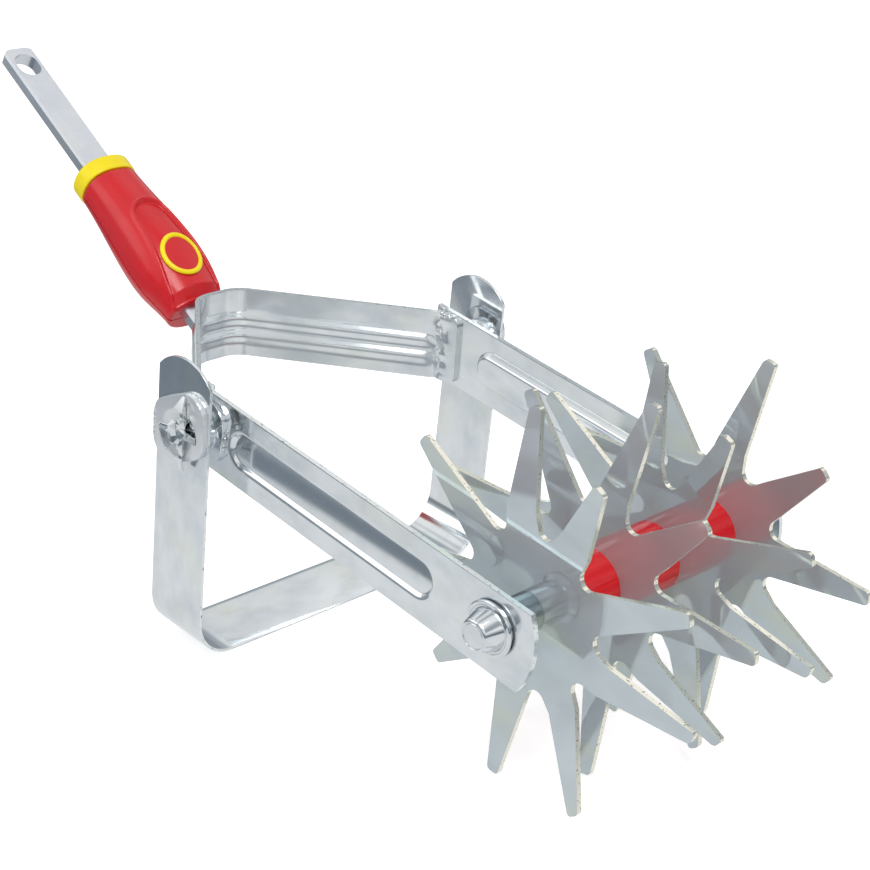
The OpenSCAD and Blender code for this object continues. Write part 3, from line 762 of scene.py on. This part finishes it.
@dataclass
class Axle(Assembly):
    """The fixed axle rod with its pressed caps, and the sleeves at the roller's ends."""

    arm_face: float = 65 * MM
    sleeve_end: float = 62.7 * MM
    cap_edge_mm: float = 0.15
    cap_mm: tuple[tuple[float, float], ...] = (
        (0, 6.9), (5.1, 6.9), (5.1, 0), (8.6, 0), (8.6, 0.7), (9.7, 0.8), (10, 1.1), (10, 1.5),
        (9.6, 1.9), (8.5, 2.0), (8.3, 1.7), (7.7, 1.7), (7.5, 2.3), (5.75, 7.7), (5.3, 8.3),
        (4.9, 8.5), (4.6, 8.5), (4.5, 8.3), (4.2, 8.3), (4.1, 8.45), (0, 8.45))
    sleeve_mm: tuple[tuple[float, float], ...] = (
        (5.1, 0), (8.5, 0), (8.6, 0.3), (8.5, 1.2), (7.4, 2.3), (6.9, 3.0), (6.9, 14.8),
        (6.7, 15.0), (5.1, 15.0))

    def build(self) -> None:
        """Make the caps and sleeves and dress the rod."""
        dress_node("axle_rod", self.finishes.turned)
        for side in SIDES:
            cap = turned_part(self.cap_mm)
            soften(cap, self.cap_edge_mm, 30)
            finish_piece(cap, f"push_on_cap_{side}", Body.FRAME, self.finishes.turned,
                         "axle_steel", f"hub_cap_{side}",
                         place=self.seat(side, self.arm_face, True), smooth=30)
            node = f"end_sleeve_{side}"
            finish_piece(turned_part(self.sleeve_mm), f"steel_sleeve_{side}",
                         Body(frame["nodes"][node]["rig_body"]), self.finishes.sleeve,
                         "axle_steel", node, place=self.seat(side, self.sleeve_end, False))

    def seat(self, side: str, along: float, outwards: bool) -> Matrix:
        """Frame on the axle at one side of the tool.

        Args:
            side: Which side it is.
            along: Distance from the tool's middle.
            outwards: Whether the frame's Y points away from the middle.
        Returns:
            The matrix from the frame to the tool.
        """
        turn = 0 if (SIDES[side] > 0) == outwards else pi
        return LAYOUT.arms() @ Matrix.Translation((0, SIDES[side] * along, 0)) \
            @ Matrix.Rotation(turn, 4, "Z")


@dataclass
class Arms(Assembly):
    """The two arms, each a strip with a long flat-bottomed bead pressed inwards."""

    rear: float = -161 * MM
    front: float = 18.7 * MM
    nose_round: float = 28.9 * MM
    height: float = 30 * MM
    middle_y: float = 64 * MM
    thickness: float = 2 * MM
    drop: float = 1.3 * MM
    bead_ends: tuple[float, float] = (-127 * MM, -34.5 * MM)
    bead_half: float = 7.5 * MM
    bead_wall: float = 1.8 * MM
    bead_depth: float = 3.2 * MM
    bead_dish: float = 2.0 * MM
    cells: tuple[int, int] = (300, 60)
    edge_mm: float = 0.25

    def press(self, x: float, z: float) -> float:
        """Depth of the bead at a point of the strip.

        Args:
            x: Place along the arm, from the axle.
            z: Height above the arm's middle line.
        Returns:
            How far the sheet is pressed inwards; deepest along the bead's upper side.
        """
        along = min(max(x, self.bead_ends[0]), self.bead_ends[1])
        inside = (self.bead_half - hypot(x - along, z)) / self.bead_wall
        rise = min(1.0, max(0.0, (z + self.bead_half) / (2 * self.bead_half)))
        return ease(inside) * (self.bead_depth - self.bead_dish * (1 - rise ** 2))

    def build(self) -> None:
        """Press both arms from a fine grid."""
        for side, out in SIDES.items():
            arm = add_shape(
                bpy.ops.mesh.primitive_grid_add, (self.front - self.rear, self.height, 1),
                x_subdivisions=self.cells[0], y_subdivisions=self.cells[1], size=1,
                location=((self.front + self.rear) / 2, 0, 0), rotation=(pi / 2, 0, 0))
            for v in arm.data.vertices:
                x, z = v.co.x, v.co.z
                if x > 0:
                    nose = self.front - self.nose_round + (self.nose_round ** 2 - z * z) ** 0.5
                    x *= nose / self.front
                v.co = (x, out * (self.middle_y - self.press(x, z)), z - self.drop)
            apply_modifier(arm, "SOLIDIFY", thickness=self.thickness, offset=0)
            soften(arm, self.edge_mm, 60)
            finish_piece(arm, f"beaded_arm_{side}", Body.FRAME, self.finishes.arm, "zinc_steel",
                         f"arm_{side}", place=LAYOUT.arms(), smooth=50)


@dataclass
class Yoke(Assembly):
    """The bent strip that joins the arms to the tang, with two beads along it."""

    height: float = 29.2 * MM
    thickness: float = 1.8 * MM
    corner: float = 9.92 * MM
    middle_bend: float = 12 * MM
    end_bend: float = 5.9 * MM
    slant: float = radians(37.2845)
    flange: float = 8 * MM
    run: float = 70.52 * MM
    end_y: float = 62.1 * MM
    bead_depth: float = 1.2 * MM
    bead_mid: tuple[float, float] = (0.05, -0.21)
    bead_half: float = 0.15
    bead_end: float = 3 * MM
    bead_fade: float = 4 * MM
    crease_back: float = 1 * MM
    crease_half: float = 3 * MM
    crease_grain: float = 4 * MM
    crease_depth: float = 1.6 * MM
    flange_round: float = 4 * MM
    edge_mm: float = 0.25
    weld_mm: Triple = (69.5, 61.3, 14.3)
    weld_drops: int = 9
    weld_pitch_mm: float = 0.8
    weld_wave_mm: float = 0.5

    def build(self) -> None:
        """Sweep the strip round its bends, press the beads and give it its thickness."""
        slant, first, last = self.slant, self.middle_bend, self.end_bend
        # Length of each bend's tangents, from its corner to where the strip is straight
        first_leg, last_leg = first * tan((pi / 2 - slant) / 2), last * tan(slant / 2)
        half = self.corner - first_leg
        length = (self.end_y - self.corner) / sin(slant) - first_leg - last_leg
        strip = add_shape(bpy.ops.mesh.primitive_grid_add, (2 * half, self.height, 1),
                          x_subdivisions=10, y_subdivisions=56, size=1,
                          rotation=(pi / 2, 0, pi / 2))
        for out in (1, -1):
            pick(strip, Part.EDGE, lambda p: abs(p.y - out * half) < 1e-6)
            bpy.ops.mesh.spin(steps=14, angle=out * (pi / 2 - slant), axis=(0, 0, 1),
                              center=(first, out * half, 0))
            self.extrude_along(Vector((cos(slant), out * sin(slant), 0)) * length, 60)
            bpy.ops.mesh.spin(steps=8, angle=out * slant, axis=(0, 0, 1),
                              center=(self.run, out * (self.end_y - last), 0))
            self.extrude_along(Vector((self.flange, 0, 0)), 6)
        leave_edit()
        self.press_beads(strip)
        apply_modifier(strip, "SOLIDIFY", thickness=self.thickness, offset=0)
        soften(strip, self.edge_mm, 60)
        finish_piece(strip, "beaded_yoke", Body.FRAME, self.finishes.yoke, "zinc_steel", "yoke",
                     place=LAYOUT.yoke(), smooth=50)
        for side in SIDES:
            # A slightly wavy row of drops along the flange's top edge
            x, y, z = self.weld_mm
            spots = [on_side(side, x + self.weld_pitch_mm * i,
                             y + self.weld_wave_mm * sin(1.7 * i), z)
                     for i in range(self.weld_drops)]
            finish_piece(weld_run(spots, 1.2, 3), f"yoke_weld_{side}", Body.FRAME,
                         self.finishes.weld, "zinc_steel", place=LAYOUT.yoke(), smooth=60)

    def extrude_along(self, way: Vector, steps: int) -> None:
        """Extrude the selected end edges in equal steps.

        Args:
            way: Whole move.
            steps: How many steps it is made in.
        """
        for _ in range(steps):
            bpy.ops.mesh.extrude_region_move(TRANSFORM_OT_translate={"value": way / steps})

    def press_beads(self, strip: Object) -> None:
        """Push the two beads outwards up to the end bends, and crease the sheet there.

        Args:
            strip: The bent sheet.
        """
        mesh = strip.data
        moves = []
        for v in mesh.vertices:
            fade = ease((self.run - self.bead_end - v.co.x) / self.bead_fade)
            share = v.co.z / self.height
            push = 0.0
            for mid in self.bead_mid:
                reach = abs(share - mid) / self.bead_half
                if reach < 1:
                    push = max(push, 0.5 + 0.5 * cos(pi * reach))
            out = v.normal if v.normal.x < 0.2 else -v.normal
            crease = exp(-((v.co.x - self.run + self.crease_back) / self.crease_half) ** 2)
            lumps = noise.noise(v.co / self.crease_grain) * crease * self.crease_depth
            moves.append(out * (push * fade * self.bead_depth + lumps))
        for v, move in zip(mesh.vertices, moves):
            v.co += move
        # Draw each square corner of the flanges in to a quarter circle
        r = self.flange_round
        for v in mesh.vertices:
            across = (v.co.x - (self.run + self.flange - r)) / r
            along = (abs(v.co.z) - (self.height / 2 - r)) / r
            if across > 0 and along > 0:
                v.co.x -= r * across * (1 - (1 - along * along / 2) ** 0.5)
                v.co.z *= 1 - r * along * (1 - (1 - across * across / 2) ** 0.5) / abs(v.co.z)


@dataclass(frozen=True)
class Ear:
    """A torn ear of a lug's head, drawn in towards its free end."""

    name: str
    size_mm: Triple
    place_mm: Triple
    lean: float
    points: int
    end_width: float


@dataclass
class Hoe(Assembly):
    """The stirrup blade and the plates and lugs of its pivot."""

    window: float = 7.5 * MM
    dent_from: float = 0.6 * MM
    dent: float = 0.9 * MM
    twist_from: float = -13 * MM
    cell_mm: float = 0.3
    foot_end: float = 73.4 * MM
    foot_fade: float = 2 * MM
    foot_lumps_mm: float = 1.2
    head_from: float = 77.7 * MM
    clear_from: float = 77.45 * MM
    clear_to: float = 81.5 * MM
    ears: tuple[Ear, ...] = (
        Ear("upper", (5.2, 1.0, 5.8), (2.4, 78.7, 13.9), radians(24), 1, 0.25),
        Ear("lower", (3.6, 1.0, 5.5), (4.6, 78.6, -10.0), radians(-20), -1, 0.7))
    fold_size_mm: Triple = (2.0, 1.1, 22.0)
    fold_place_mm: Triple = (3.5, 78.1, 2)
    fold_lean: float = radians(-5.3)
    flap_half_mm: Triple = (4.6, 1.5, 5.0)
    flap_place_mm: Triple = (1.6, 79.2, 2.6)
    flap_lean: float = 0.45
    weld_round_mm: float = 12.4
    weld_y_mm: float = 65.4

    def build(self) -> None:
        """Make the blade, both pivot plates and both lugs."""
        blade = copy_of("stirrup_blade")
        soften(blade, 0.2, 60)
        finish_piece(blade, "stirrup_strip", Body.HOE, self.finishes.blade, "blade_steel",
                     "stirrup_blade")
        for side in SIDES:
            self.plate(side)
            self.lug(side)

    def hang(self, piece: Object, name: str, material: Material, smooth: float) -> None:
        """Finish a fold or ear of a lug's head, flattened where it would cut into the plate.

        Args:
            piece: Mesh in the pivot's frame, on its side of the tool.
            name: Name of the finished piece.
            material: Its finish.
            smooth: Angle up to which faces shade as one, in degrees.
        """
        for v in piece.data.vertices:
            out = 1 if v.co.y > 0 else -1
            v.co.y = out * min(max(abs(v.co.y), self.clear_from), self.clear_to)
        finish_piece(piece, name, Body.FRAME, material, "zinc_steel", place=LAYOUT.at_pivot(),
                     smooth=smooth)

    def remeshed(self, node: str, place: Matrix) -> Object:
        """Copy a CAD node as an even fine mesh, drawn in a frame of its own.

        Args:
            node: Name of the CAD node.
            place: Matrix from that frame to the tool.
        Returns:
            The copy, in the frame.
        """
        piece = copy_of(node)
        piece.matrix_world = place.inverted()
        bpy.ops.object.transform_apply(location=True, rotation=True, scale=True)
        apply_modifier(piece, "REMESH", mode="VOXEL", voxel_size=self.cell_mm * MM)
        return piece

    def near_window(self, x: float, z: float) -> float:
        """Share of the dent round a plate's window, 1 in its middle."""
        return exp(-(hypot(x, z) / self.window) ** 6)

    def plate(self, side: str) -> None:
        """Make a pivot plate, dented and creased round its torn window.

        Args:
            side: Which side of the tool it stands on.
        """
        plate = self.remeshed(f"pivot_plate_{side}", LAYOUT.hoe())
        inner = min(abs(v.co.y) for v in plate.data.vertices)
        for v in plate.data.vertices:
            if abs(v.co.y) > inner + self.dent_from:
                v.co.y *= 1 - self.dent * self.near_window(v.co.x, v.co.z) / abs(v.co.y)
        plate.data.update()
        # Coarse lumps, strongest at the window, and fine ones on the twisted tab
        crumple(plate, 5, lambda p: 0.04 + 0.3 * self.near_window(p.x, p.z))
        crumple(plate, 0.9, lambda p: 0.2 if p.x < self.twist_from else 0.0)
        finish_piece(plate, f"window_plate_{side}", Body.HOE, self.finishes.pressed,
                     "zinc_steel", f"pivot_plate_{side}", place=LAYOUT.hoe(), smooth=40)

    def lug(self, side: str) -> None:
        """Make a pivot lug with a hammered foot, and the torn head that keeps the leg on.

        Args:
            side: Which side of the tool it stands on.
        """
        out = SIDES[side]
        lug = self.remeshed(f"pivot_lug_{side}", LAYOUT.at_pivot())
        crumple(lug, 8, lambda p: self.foot_lumps_mm * ease(
            (self.foot_end - abs(p.y)) / self.foot_fade))
        # The head is cut away just outside the plate; the ears, fold and flap stand for it
        pick(lug)
        bpy.ops.mesh.bisect(plane_co=(0, out * self.head_from, 0), plane_no=(0, out, 0),
                            clear_outer=True, use_fill=True)
        leave_edit()
        # A few large facets, as a hammer leaves them
        apply_modifier(lug, "DECIMATE", ratio=0.03)
        soften(lug, 0.15, 25)
        finish_piece(lug, f"welded_lug_{side}", Body.FRAME, self.finishes.lug, "zinc_steel",
                     f"pivot_lug_{side}", place=LAYOUT.at_pivot(), smooth=18)
        for shape in self.ears:
            self.ear(shape, side)
        self.fold(side)
        self.flap(side)
        # A bead round the front of the lug's foot, a drop every five degrees
        spots = [on_side(side, self.weld_round_mm * cos(radians(a)), self.weld_y_mm,
                         self.weld_round_mm * sin(radians(a))) for a in range(-70, 80, 5)]
        finish_piece(weld_run(spots, 0.9, 5), f"lug_weld_{side}", Body.FRAME,
                     self.finishes.weld, "zinc_steel", place=LAYOUT.at_pivot(), smooth=60)

    def fold(self, side: str) -> None:
        """Make the creased fold that runs down the plate from one ear to the other.

        Args:
            side: Which side of the tool it stands on.
        """
        fold = add_shape(bpy.ops.mesh.primitive_cube_add, self.fold_size_mm, size=1 * MM,
                         location=on_side(side, *self.fold_place_mm),
                         rotation=(0, self.fold_lean, 0))
        pick(fold)
        bpy.ops.mesh.subdivide(number_cuts=14)
        leave_edit()
        crumple(fold, 5, lambda p: 1.0)
        self.hang(fold, f"lug_fold_{side}", self.finishes.lug, 30)

    def flap(self, side: str) -> None:
        """Make the crumpled flap torn up over the window of a pivot.

        Args:
            side: Which side of the tool it stands on.
        """
        flap = add_shape(bpy.ops.mesh.primitive_ico_sphere_add, self.flap_half_mm, subdivisions=5,
                         radius=1 * MM, location=on_side(side, *self.flap_place_mm))
        for v in flap.data.vertices:
            v.co.x += self.flap_lean * (v.co.z - self.flap_place_mm[2] * MM)
        crumple(flap, 3, lambda p: 2.2)
        apply_modifier(flap, "DECIMATE", ratio=0.02)
        self.hang(flap, f"torn_flap_{side}", self.finishes.lug, 15)

    def ear(self, shape: Ear, side: str) -> None:
        """Make one torn ear of a lug's head.

        Args:
            shape: Which ear it is, with its sizes.
            side: Which side of the tool it stands on.
        """
        place = on_side(side, *shape.place_mm)
        ear = add_shape(bpy.ops.mesh.primitive_cube_add, [v * MM for v in shape.size_mm], size=1,
                        location=place, rotation=(SIDES[side] * shape.lean, 0, 0))
        free_end = 0.4 * shape.size_mm[2] * MM
        pick(ear, test=lambda p: (p.z - place.z) * shape.points > free_end)
        bpy.ops.transform.resize(value=(shape.end_width, 1, 1))
        leave_edit()
        soften(ear, 0.2, 30)
        self.hang(ear, f"lug_ear_{shape.name}_{side}", self.finishes.pressed, 30)


@dataclass
class Tang(Assembly):
    """The flat bar that plugs into a handle."""

    edge_mm: float = 0.25

    def build(self) -> None:
        """Make the bar with soft edges, and dress the grip's screws."""
        bar = copy_of("tang")
        soften(bar, self.edge_mm, 25)
        finish_piece(bar, "bevelled_tang", Body.FRAME, self.finishes.bar, "tang_steel", "tang")
        dress_node("grip_screws", self.finishes.turned)


@dataclass(frozen=True)
class Swell:
    """A size of the grip, from its front end over its fullest place to the collar."""

    nose: float
    full: float
    rear: float
    full_at: float
    fall_from: float
    fall_over: float

    def at(self, share: float) -> float:
        """Size at a place along the grip.

        Args:
            share: The place, from 0 at the front end to 1 at the collar.
        Returns:
            The size there.
        """
        if share < self.full_at:
            return self.nose + (self.full - self.nose) * ease(share / self.full_at)
        fallen = ease((share - self.fall_from) / self.fall_over)
        return self.full + (self.rear - self.full) * fallen


@dataclass
class Grip(Assembly):
    """The red two-part moulding on the tang, its yellow collar and its plain badge."""

    front: float = 11.5 * MM
    length: float = 72 * MM
    half_width: Swell = Swell(13.4 * MM, 15.9 * MM, 12.6 * MM, 0.28, 0.28, 0.7)
    half_height: Swell = Swell(11.4 * MM, 15 * MM, 10.6 * MM, 0.4, 0.42, 0.75)
    corner_power: float = 0.84
    drop: float = 3.6 * MM
    parting: float = 6.8 * MM
    parting_gap: float = 0.2 * MM
    parting_edge_mm: float = 0.45
    end_round: float = 1.4 * MM
    sides: int = 128
    rings: int = 96
    panel_depth: float = 1.4 * MM
    panel_wall: float = 1.1 * MM
    panel_tip: float = 0.7
    panel_round: float = 7.5 * MM
    panel_half: float = 11.8 * MM
    panel_taper: float = 52 * MM
    panel_from: float = 1.5 * MM
    panel_top: float = 0.25
    rim_height: float = 0.7 * MM
    rim_half: float = 0.7 * MM
    rim_out: float = 1.3 * MM
    facet: float = 5.5 * MM
    facet_drop: float = 4 * MM
    facet_top: float = 0.8
    collar_proud: float = 0.4 * MM
    collar_mm: tuple[tuple[float, float], ...] = (
        (0, 0.6), (0.1, 0.3), (0.3, 0.1), (0.7, 0), (6.2, 0), (6.9, 0.12), (7.3, 0.4),
        (7.5, 0.8), (7.6, 1.4))
    badge_at: float = 31.5 * MM
    badge_height: float = 9.697 * MM
    badge_tilt: float = radians(8.824)
    badge_size: tuple[float, float] = (20 * MM, 18 * MM)
    badge_crown: float = 1.1 * MM
    ring_inset: float = 0.8 * MM
    ring_radius: float = 1.0 * MM
    ring_squash: float = 0.9
    disc_inset: float = 1.2 * MM
    disc_thickness: float = 0.5 * MM
    disc_sink: float = 0.35 * MM

    def loft(self, stations: list[Triple]) -> Object:
        """Extrude a rounded-square ring through a row of stations and close its ends.

        Args:
            stations: Distance from the yoke, half width and half height of each ring.
        Returns:
            The closed skin, drawn in the tang's frame.
        """
        x, wide, high = stations[0]
        skin = add_shape(bpy.ops.mesh.primitive_circle_add, vertices=self.sides, radius=1,
                         fill_type="NGON")
        for v in skin.data.vertices:
            across, up = (abs(part) ** self.corner_power * (1 if part > 0 else -1)
                          for part in (v.co.x, v.co.y))
            v.co = (x, across * wide, up * high - self.drop)
        pick(skin)
        for there, new_wide, new_high in stations[1:]:
            bpy.ops.mesh.extrude_region_move(TRANSFORM_OT_translate={"value": (there - x, 0, 0)})
            bpy.ops.transform.resize(value=(1, new_wide / wide, new_high / high),
                                     center_override=(there, 0, -self.drop))
            x, wide, high = there, new_wide, new_high
        face_out()
        return skin

    def body(self) -> Object:
        """The grip's whole skin, before it is cut at the parting line.

        Returns:
            The skin in the tang's frame.
        """
        stations = []
        for i in range(self.rings + 1):
            x = self.length * i / self.rings
            near_end = min(x, self.length - x)
            inset = 0.0
            if near_end < self.end_round:
                inset = self.end_round * (1 - (1 - (1 - near_end / self.end_round) ** 2) ** 0.5)
            share = x / self.length
            stations.append((self.front + x, self.half_width.at(share) - inset,
                             self.half_height.at(share) - inset))
        skin = self.loft(stations)
        pick(skin, test=lambda p: self.front < p.x < self.front + self.length)
        bpy.ops.mesh.subdivide(number_cuts=1)
        leave_edit()
        for v in skin.data.vertices:
            x = v.co.x - self.front
            high = self.half_height.at(x / self.length)
            v.co.z += self.panel_step(x, v.co.y, (v.co.z + self.drop) / high)
            v.co.z -= self.facet_step(x, (v.co.z + self.drop) / high)
        return skin

    def facet_step(self, x: float, up: float) -> float:
        """Depth of the steep facet that the top of the front end has behind a soft crease.

        Args:
            x: Distance from the grip's front end.
            up: Height over the grip's middle, 1 at its top.
        Returns:
            How far the skin is pressed down.
        """
        ahead = self.facet - x
        if ahead <= 0 or up <= 0:
            return 0.0
        return self.facet_drop * (ahead / self.facet) * ease(up / self.facet_top)

    def panel_inside(self, x: float, y: float) -> float:
        """How far a point lies inside the sunk panel on top of the grip.

        Args:
            x: Distance from the grip's front end.
            y: Distance from the grip's middle.
        Returns:
            Distance to the panel's edge, positive inside it.
        """
        tip = self.panel_tip * self.length
        if x > tip - self.panel_round:
            return self.panel_round - hypot(x - (tip - self.panel_round), y)
        wider = (self.panel_half - self.panel_round) * ease((tip - x) / self.panel_taper)
        return self.panel_round + wider - abs(y)

    def panel_step(self, x: float, y: float, up: float) -> float:
        """Height of the sunk panel and its fine raised rim over the plain skin.

        Args:
            x: Distance from the grip's front end.
            y: Distance from the grip's middle.
            up: Height over the grip's middle, 1 at its top.
        Returns:
            How far the skin is lifted; below 0 in the panel.
        """
        if up < self.panel_top:
            return 0.0
        inside = self.panel_inside(x, y)
        sunk = self.panel_depth * ease(inside / self.panel_wall + 0.5)
        rim = self.rim_height * exp(-((inside + self.rim_out) / self.rim_half) ** 2)
        return (rim - sunk) * ease(x / self.panel_from)

    def half(self, skin: Object, upper: bool) -> Object:
        """Cut the skin at the parting line and keep one half.

        Args:
            skin: The whole skin.
            upper: Whether the upper half is kept.
        Returns:
            The half, closed at the cut.
        """
        clear_selection()
        half = new_object("half", skin.data.copy())
        pick(half)
        level = -self.parting + (self.parting_gap if upper else -self.parting_gap)
        bpy.ops.mesh.bisect(plane_co=(0, 0, level), plane_no=(0, 0, 1), use_fill=True,
                            clear_inner=upper, clear_outer=not upper)
        leave_edit()
        soften(half, self.parting_edge_mm, 50)
        return half

    def finish_badge(self, piece: Object, name: str, material: Material, slot: str, node: str,
                     smooth: float) -> None:
        """Bend a flat badge piece over the grip's crown and finish it.

        Args:
            piece: Badge piece in the badge's frame.
            name: Name of the finished piece.
            material: Its finish.
            slot: Material slot of the record.
            node: CAD node it stands for.
            smooth: Angle up to which faces shade as one, in degrees.
        """
        for v in piece.data.vertices:
            v.co.z -= self.badge_crown * (v.co.y / (self.badge_size[1] / 2)) ** 2
        place = LAYOUT.tang() @ Matrix.Translation((self.badge_at, 0, self.badge_height)) \
            @ Matrix.Rotation(-self.badge_tilt, 4, "Y")
        finish_piece(piece, name, Body.FRAME, material, slot, node, place=place, smooth=smooth)

    def badge(self) -> None:
        """Make the raised ring and the plain disc inside it."""
        long, wide = (s / 2 for s in self.badge_size)
        inset = self.ring_inset
        ring = add_shape(bpy.ops.mesh.primitive_torus_add,
                         ((long - inset) / (wide - inset), 1, self.ring_squash),
                         major_segments=ROUND_STEPS, minor_segments=20,
                         major_radius=wide - inset, minor_radius=self.ring_radius)
        self.finish_badge(ring, "badge_rim", self.finishes.yellow, "yellow_plastic",
                          "badge_ring", 60)
        inset = self.disc_inset
        disc = add_shape(bpy.ops.mesh.primitive_circle_add,
                         ((long - inset) / (wide - inset), 1, 1), vertices=ROUND_STEPS,
                         radius=wide - inset, fill_type="TRIFAN")
        pick(disc)
        bpy.ops.mesh.subdivide(number_cuts=3)
        bpy.ops.mesh.extrude_region_move(
            TRANSFORM_OT_translate={"value": (0, 0, self.disc_thickness)})
        face_out()
        for v in disc.data.vertices:
            v.co.z -= self.disc_sink
        self.finish_badge(disc, "badge_field", self.finishes.red, "red_plastic", "badge_disc", 40)

    def build(self) -> None:
        """Make both halves, the collar and the badge."""
        skin = self.body()
        for upper, name in ((True, "upper"), (False, "lower")):
            finish_piece(self.half(skin, upper), f"moulded_grip_{name}", Body.FRAME,
                         self.finishes.red, "red_plastic", f"grip_{name}", place=LAYOUT.tang(),
                         smooth=45)
        bpy.data.objects.remove(skin)
        rear = self.front + self.length
        wide, high = (swell.at(1) + self.collar_proud
                      for swell in (self.half_width, self.half_height))
        collar = self.loft([(rear + x * MM, wide - inset * MM, high - inset * MM)
                            for x, inset in self.collar_mm])
        finish_piece(collar, "yellow_collar", Body.FRAME, self.finishes.yellow,
                     "yellow_plastic", "grip_collar", place=LAYOUT.tang(), smooth=50)
        self.badge()


@dataclass
class Studio:
    """A pale sweep, soft light, and the camera at the photograph's place."""

    lens_mm: float = 79.553
    slate: str = "#6f7b87"
    bright_middle: Triple = (0.3, 0.5, 0.0)
    far: float = 1.5
    place: Vector = field(default_factory=lambda: Vector((520.832, -463.686, 353.601)) * MM)
    right: Vector = field(default_factory=lambda: Vector((0.69878, 0.71502, 0.02123)))
    up: Vector = field(default_factory=lambda: Vector((-0.28178, 0.24786, 0.92691)))
    ahead: Vector = field(default_factory=lambda: Vector((-0.6575, 0.65369, -0.37468)))

    def build(self) -> None:
        """Make the surround, the floor, the lights and the camera."""
        self.world()
        self.floor()
        self.lights()
        self.camera()
        bpy.context.scene.view_settings.view_transform = "Standard"
        log.info("studio: surround, floor, lights and camera")

    def world(self) -> None:
        """A pale surround, white to the camera; mirrors see slate low down and white above."""
        world = bpy.data.worlds.new("surround")
        bpy.context.scene.world = world
        tree = empty_tree(world)
        path = add_node(tree, "LightPath")
        way = add_node(tree, "TexCoord")
        up = add_node(tree, "SeparateXYZ", {0: way.outputs["Generated"]})
        height = map_range(tree, up.outputs["Z"], (0.04, 0.3))
        bands = add_ramp(tree, height, [(0.0, "#7f898f"), (0.4, "#a9b1b6"), (1.0, "#ffffff")])
        # Grey gaps between softboxes, which keep the mirrors from one even white
        gaps = add_node(tree, "TexNoise", {
            "Vector": way.outputs["Generated"], "Scale": 2.6, "Detail": 0.0})
        softboxes = add_ramp(tree, gaps.outputs["Fac"], [(0.34, "#a9b1b6"), (0.46, "#ffffff")])
        mirrored = mix_colours(tree, 1.0, bands, softboxes, "MULTIPLY")
        seen = add_node(tree, "Math", {
            0: path.outputs["Is Camera Ray"], 1: path.outputs["Is Transmission Ray"]},
            operation="MAXIMUM")
        light = mix_colours(tree, seen.outputs["Value"], linear("#cfcfcf"), linear("#ffffff"))
        colour = mix_colours(tree, path.outputs["Is Glossy Ray"], light, mirrored)
        back = add_node(tree, "Background", {"Color": colour})
        add_node(tree, "OutputWorld", {"Surface": back.outputs["Background"]})

    def floor(self) -> None:
        """A wide matt white floor that keeps the shadow; mirrors see it end in slate."""
        clear_selection()
        bpy.ops.mesh.primitive_plane_add(size=12, location=(0, 0, -0.0002))
        floor = bpy.context.object
        floor.name = "studio_floor"
        material = bpy.data.materials.new("white_sweep")
        tree = empty_tree(material)
        path = add_node(tree, "LightPath")
        matt = add_node(tree, "BsdfDiffuse", {"Color": linear("#f4f4f4")})
        glow = add_node(tree, "Emission", {"Color": (1, 1, 1, 1), "Strength": 0.5})
        lit = add_node(tree, "AddShader", {
            0: matt.outputs["BSDF"], 1: glow.outputs["Emission"]})
        where = add_node(tree, "TexCoord")
        away = add_node(tree, "VectorMath", {
            0: where.outputs["Object"], 1: self.bright_middle}, operation="DISTANCE")
        share = add_node(tree, "Math", {0: away.outputs["Value"], 1: self.far},
                         operation="DIVIDE")
        mirrored = add_ramp(tree, share.outputs["Value"], [
            (0.0, "#f6f7f7"), (0.5, "#eceeef"), (0.567, "#dfe2e4"), (0.59, self.slate),
            (0.75, self.slate), (1.0, "#a4acb2")])
        image = add_node(tree, "Emission", {"Color": mirrored})
        seen = add_node(tree, "MixShader", {
            0: path.outputs["Is Camera Ray"], 1: matt.outputs["BSDF"], 2: lit.outputs["Shader"]})
        both = add_node(tree, "MixShader", {
            0: path.outputs["Is Glossy Ray"], 1: seen.outputs["Shader"],
            2: image.outputs["Emission"]})
        add_node(tree, "OutputMaterial", {"Surface": both.outputs["Shader"]})
        floor.data.materials.append(material)

    def lights(self) -> None:
        """A large soft key above the camera and a weaker fill from the left."""
        for name, place, power, size in (
                ("key", (0.7, -0.5, 1.5), 13.0, 0.8), ("fill", (-0.9, -1.2, 0.9), 3.0, 1.0)):
            lamp = bpy.data.lights.new(name, "AREA")
            lamp.energy = power
            lamp.size = size
            holder = new_object(name, lamp)
            holder.location = place
            holder.rotation_mode = "QUATERNION"
            holder.rotation_quaternion = Vector(place).to_track_quat("Z", "Y")

    def camera(self) -> None:
        """Place the camera as the photograph was taken."""
        lens = bpy.data.cameras.new("view")
        lens.lens = self.lens_mm
        lens.sensor_width = 36
        lens.clip_start = 0.01
        lens.clip_end = 50
        holder = new_object("view", lens)
        turn = Matrix((self.right, self.up, -self.ahead)).transposed().to_4x4()
        holder.matrix_world = Matrix.Translation(self.place) @ turn
        bpy.context.scene.camera = holder


def main() -> None:
    """Build the studio and every sub-assembly in order."""
    Studio().build()
    finishes = Finishes.make()
    for assembly in (Arms, Yoke, Axle, StarRoller, Hoe, Tang, Grip):
        assembly(finishes).build()
    clear_selection()


if __name__ == "__main__":
    main()
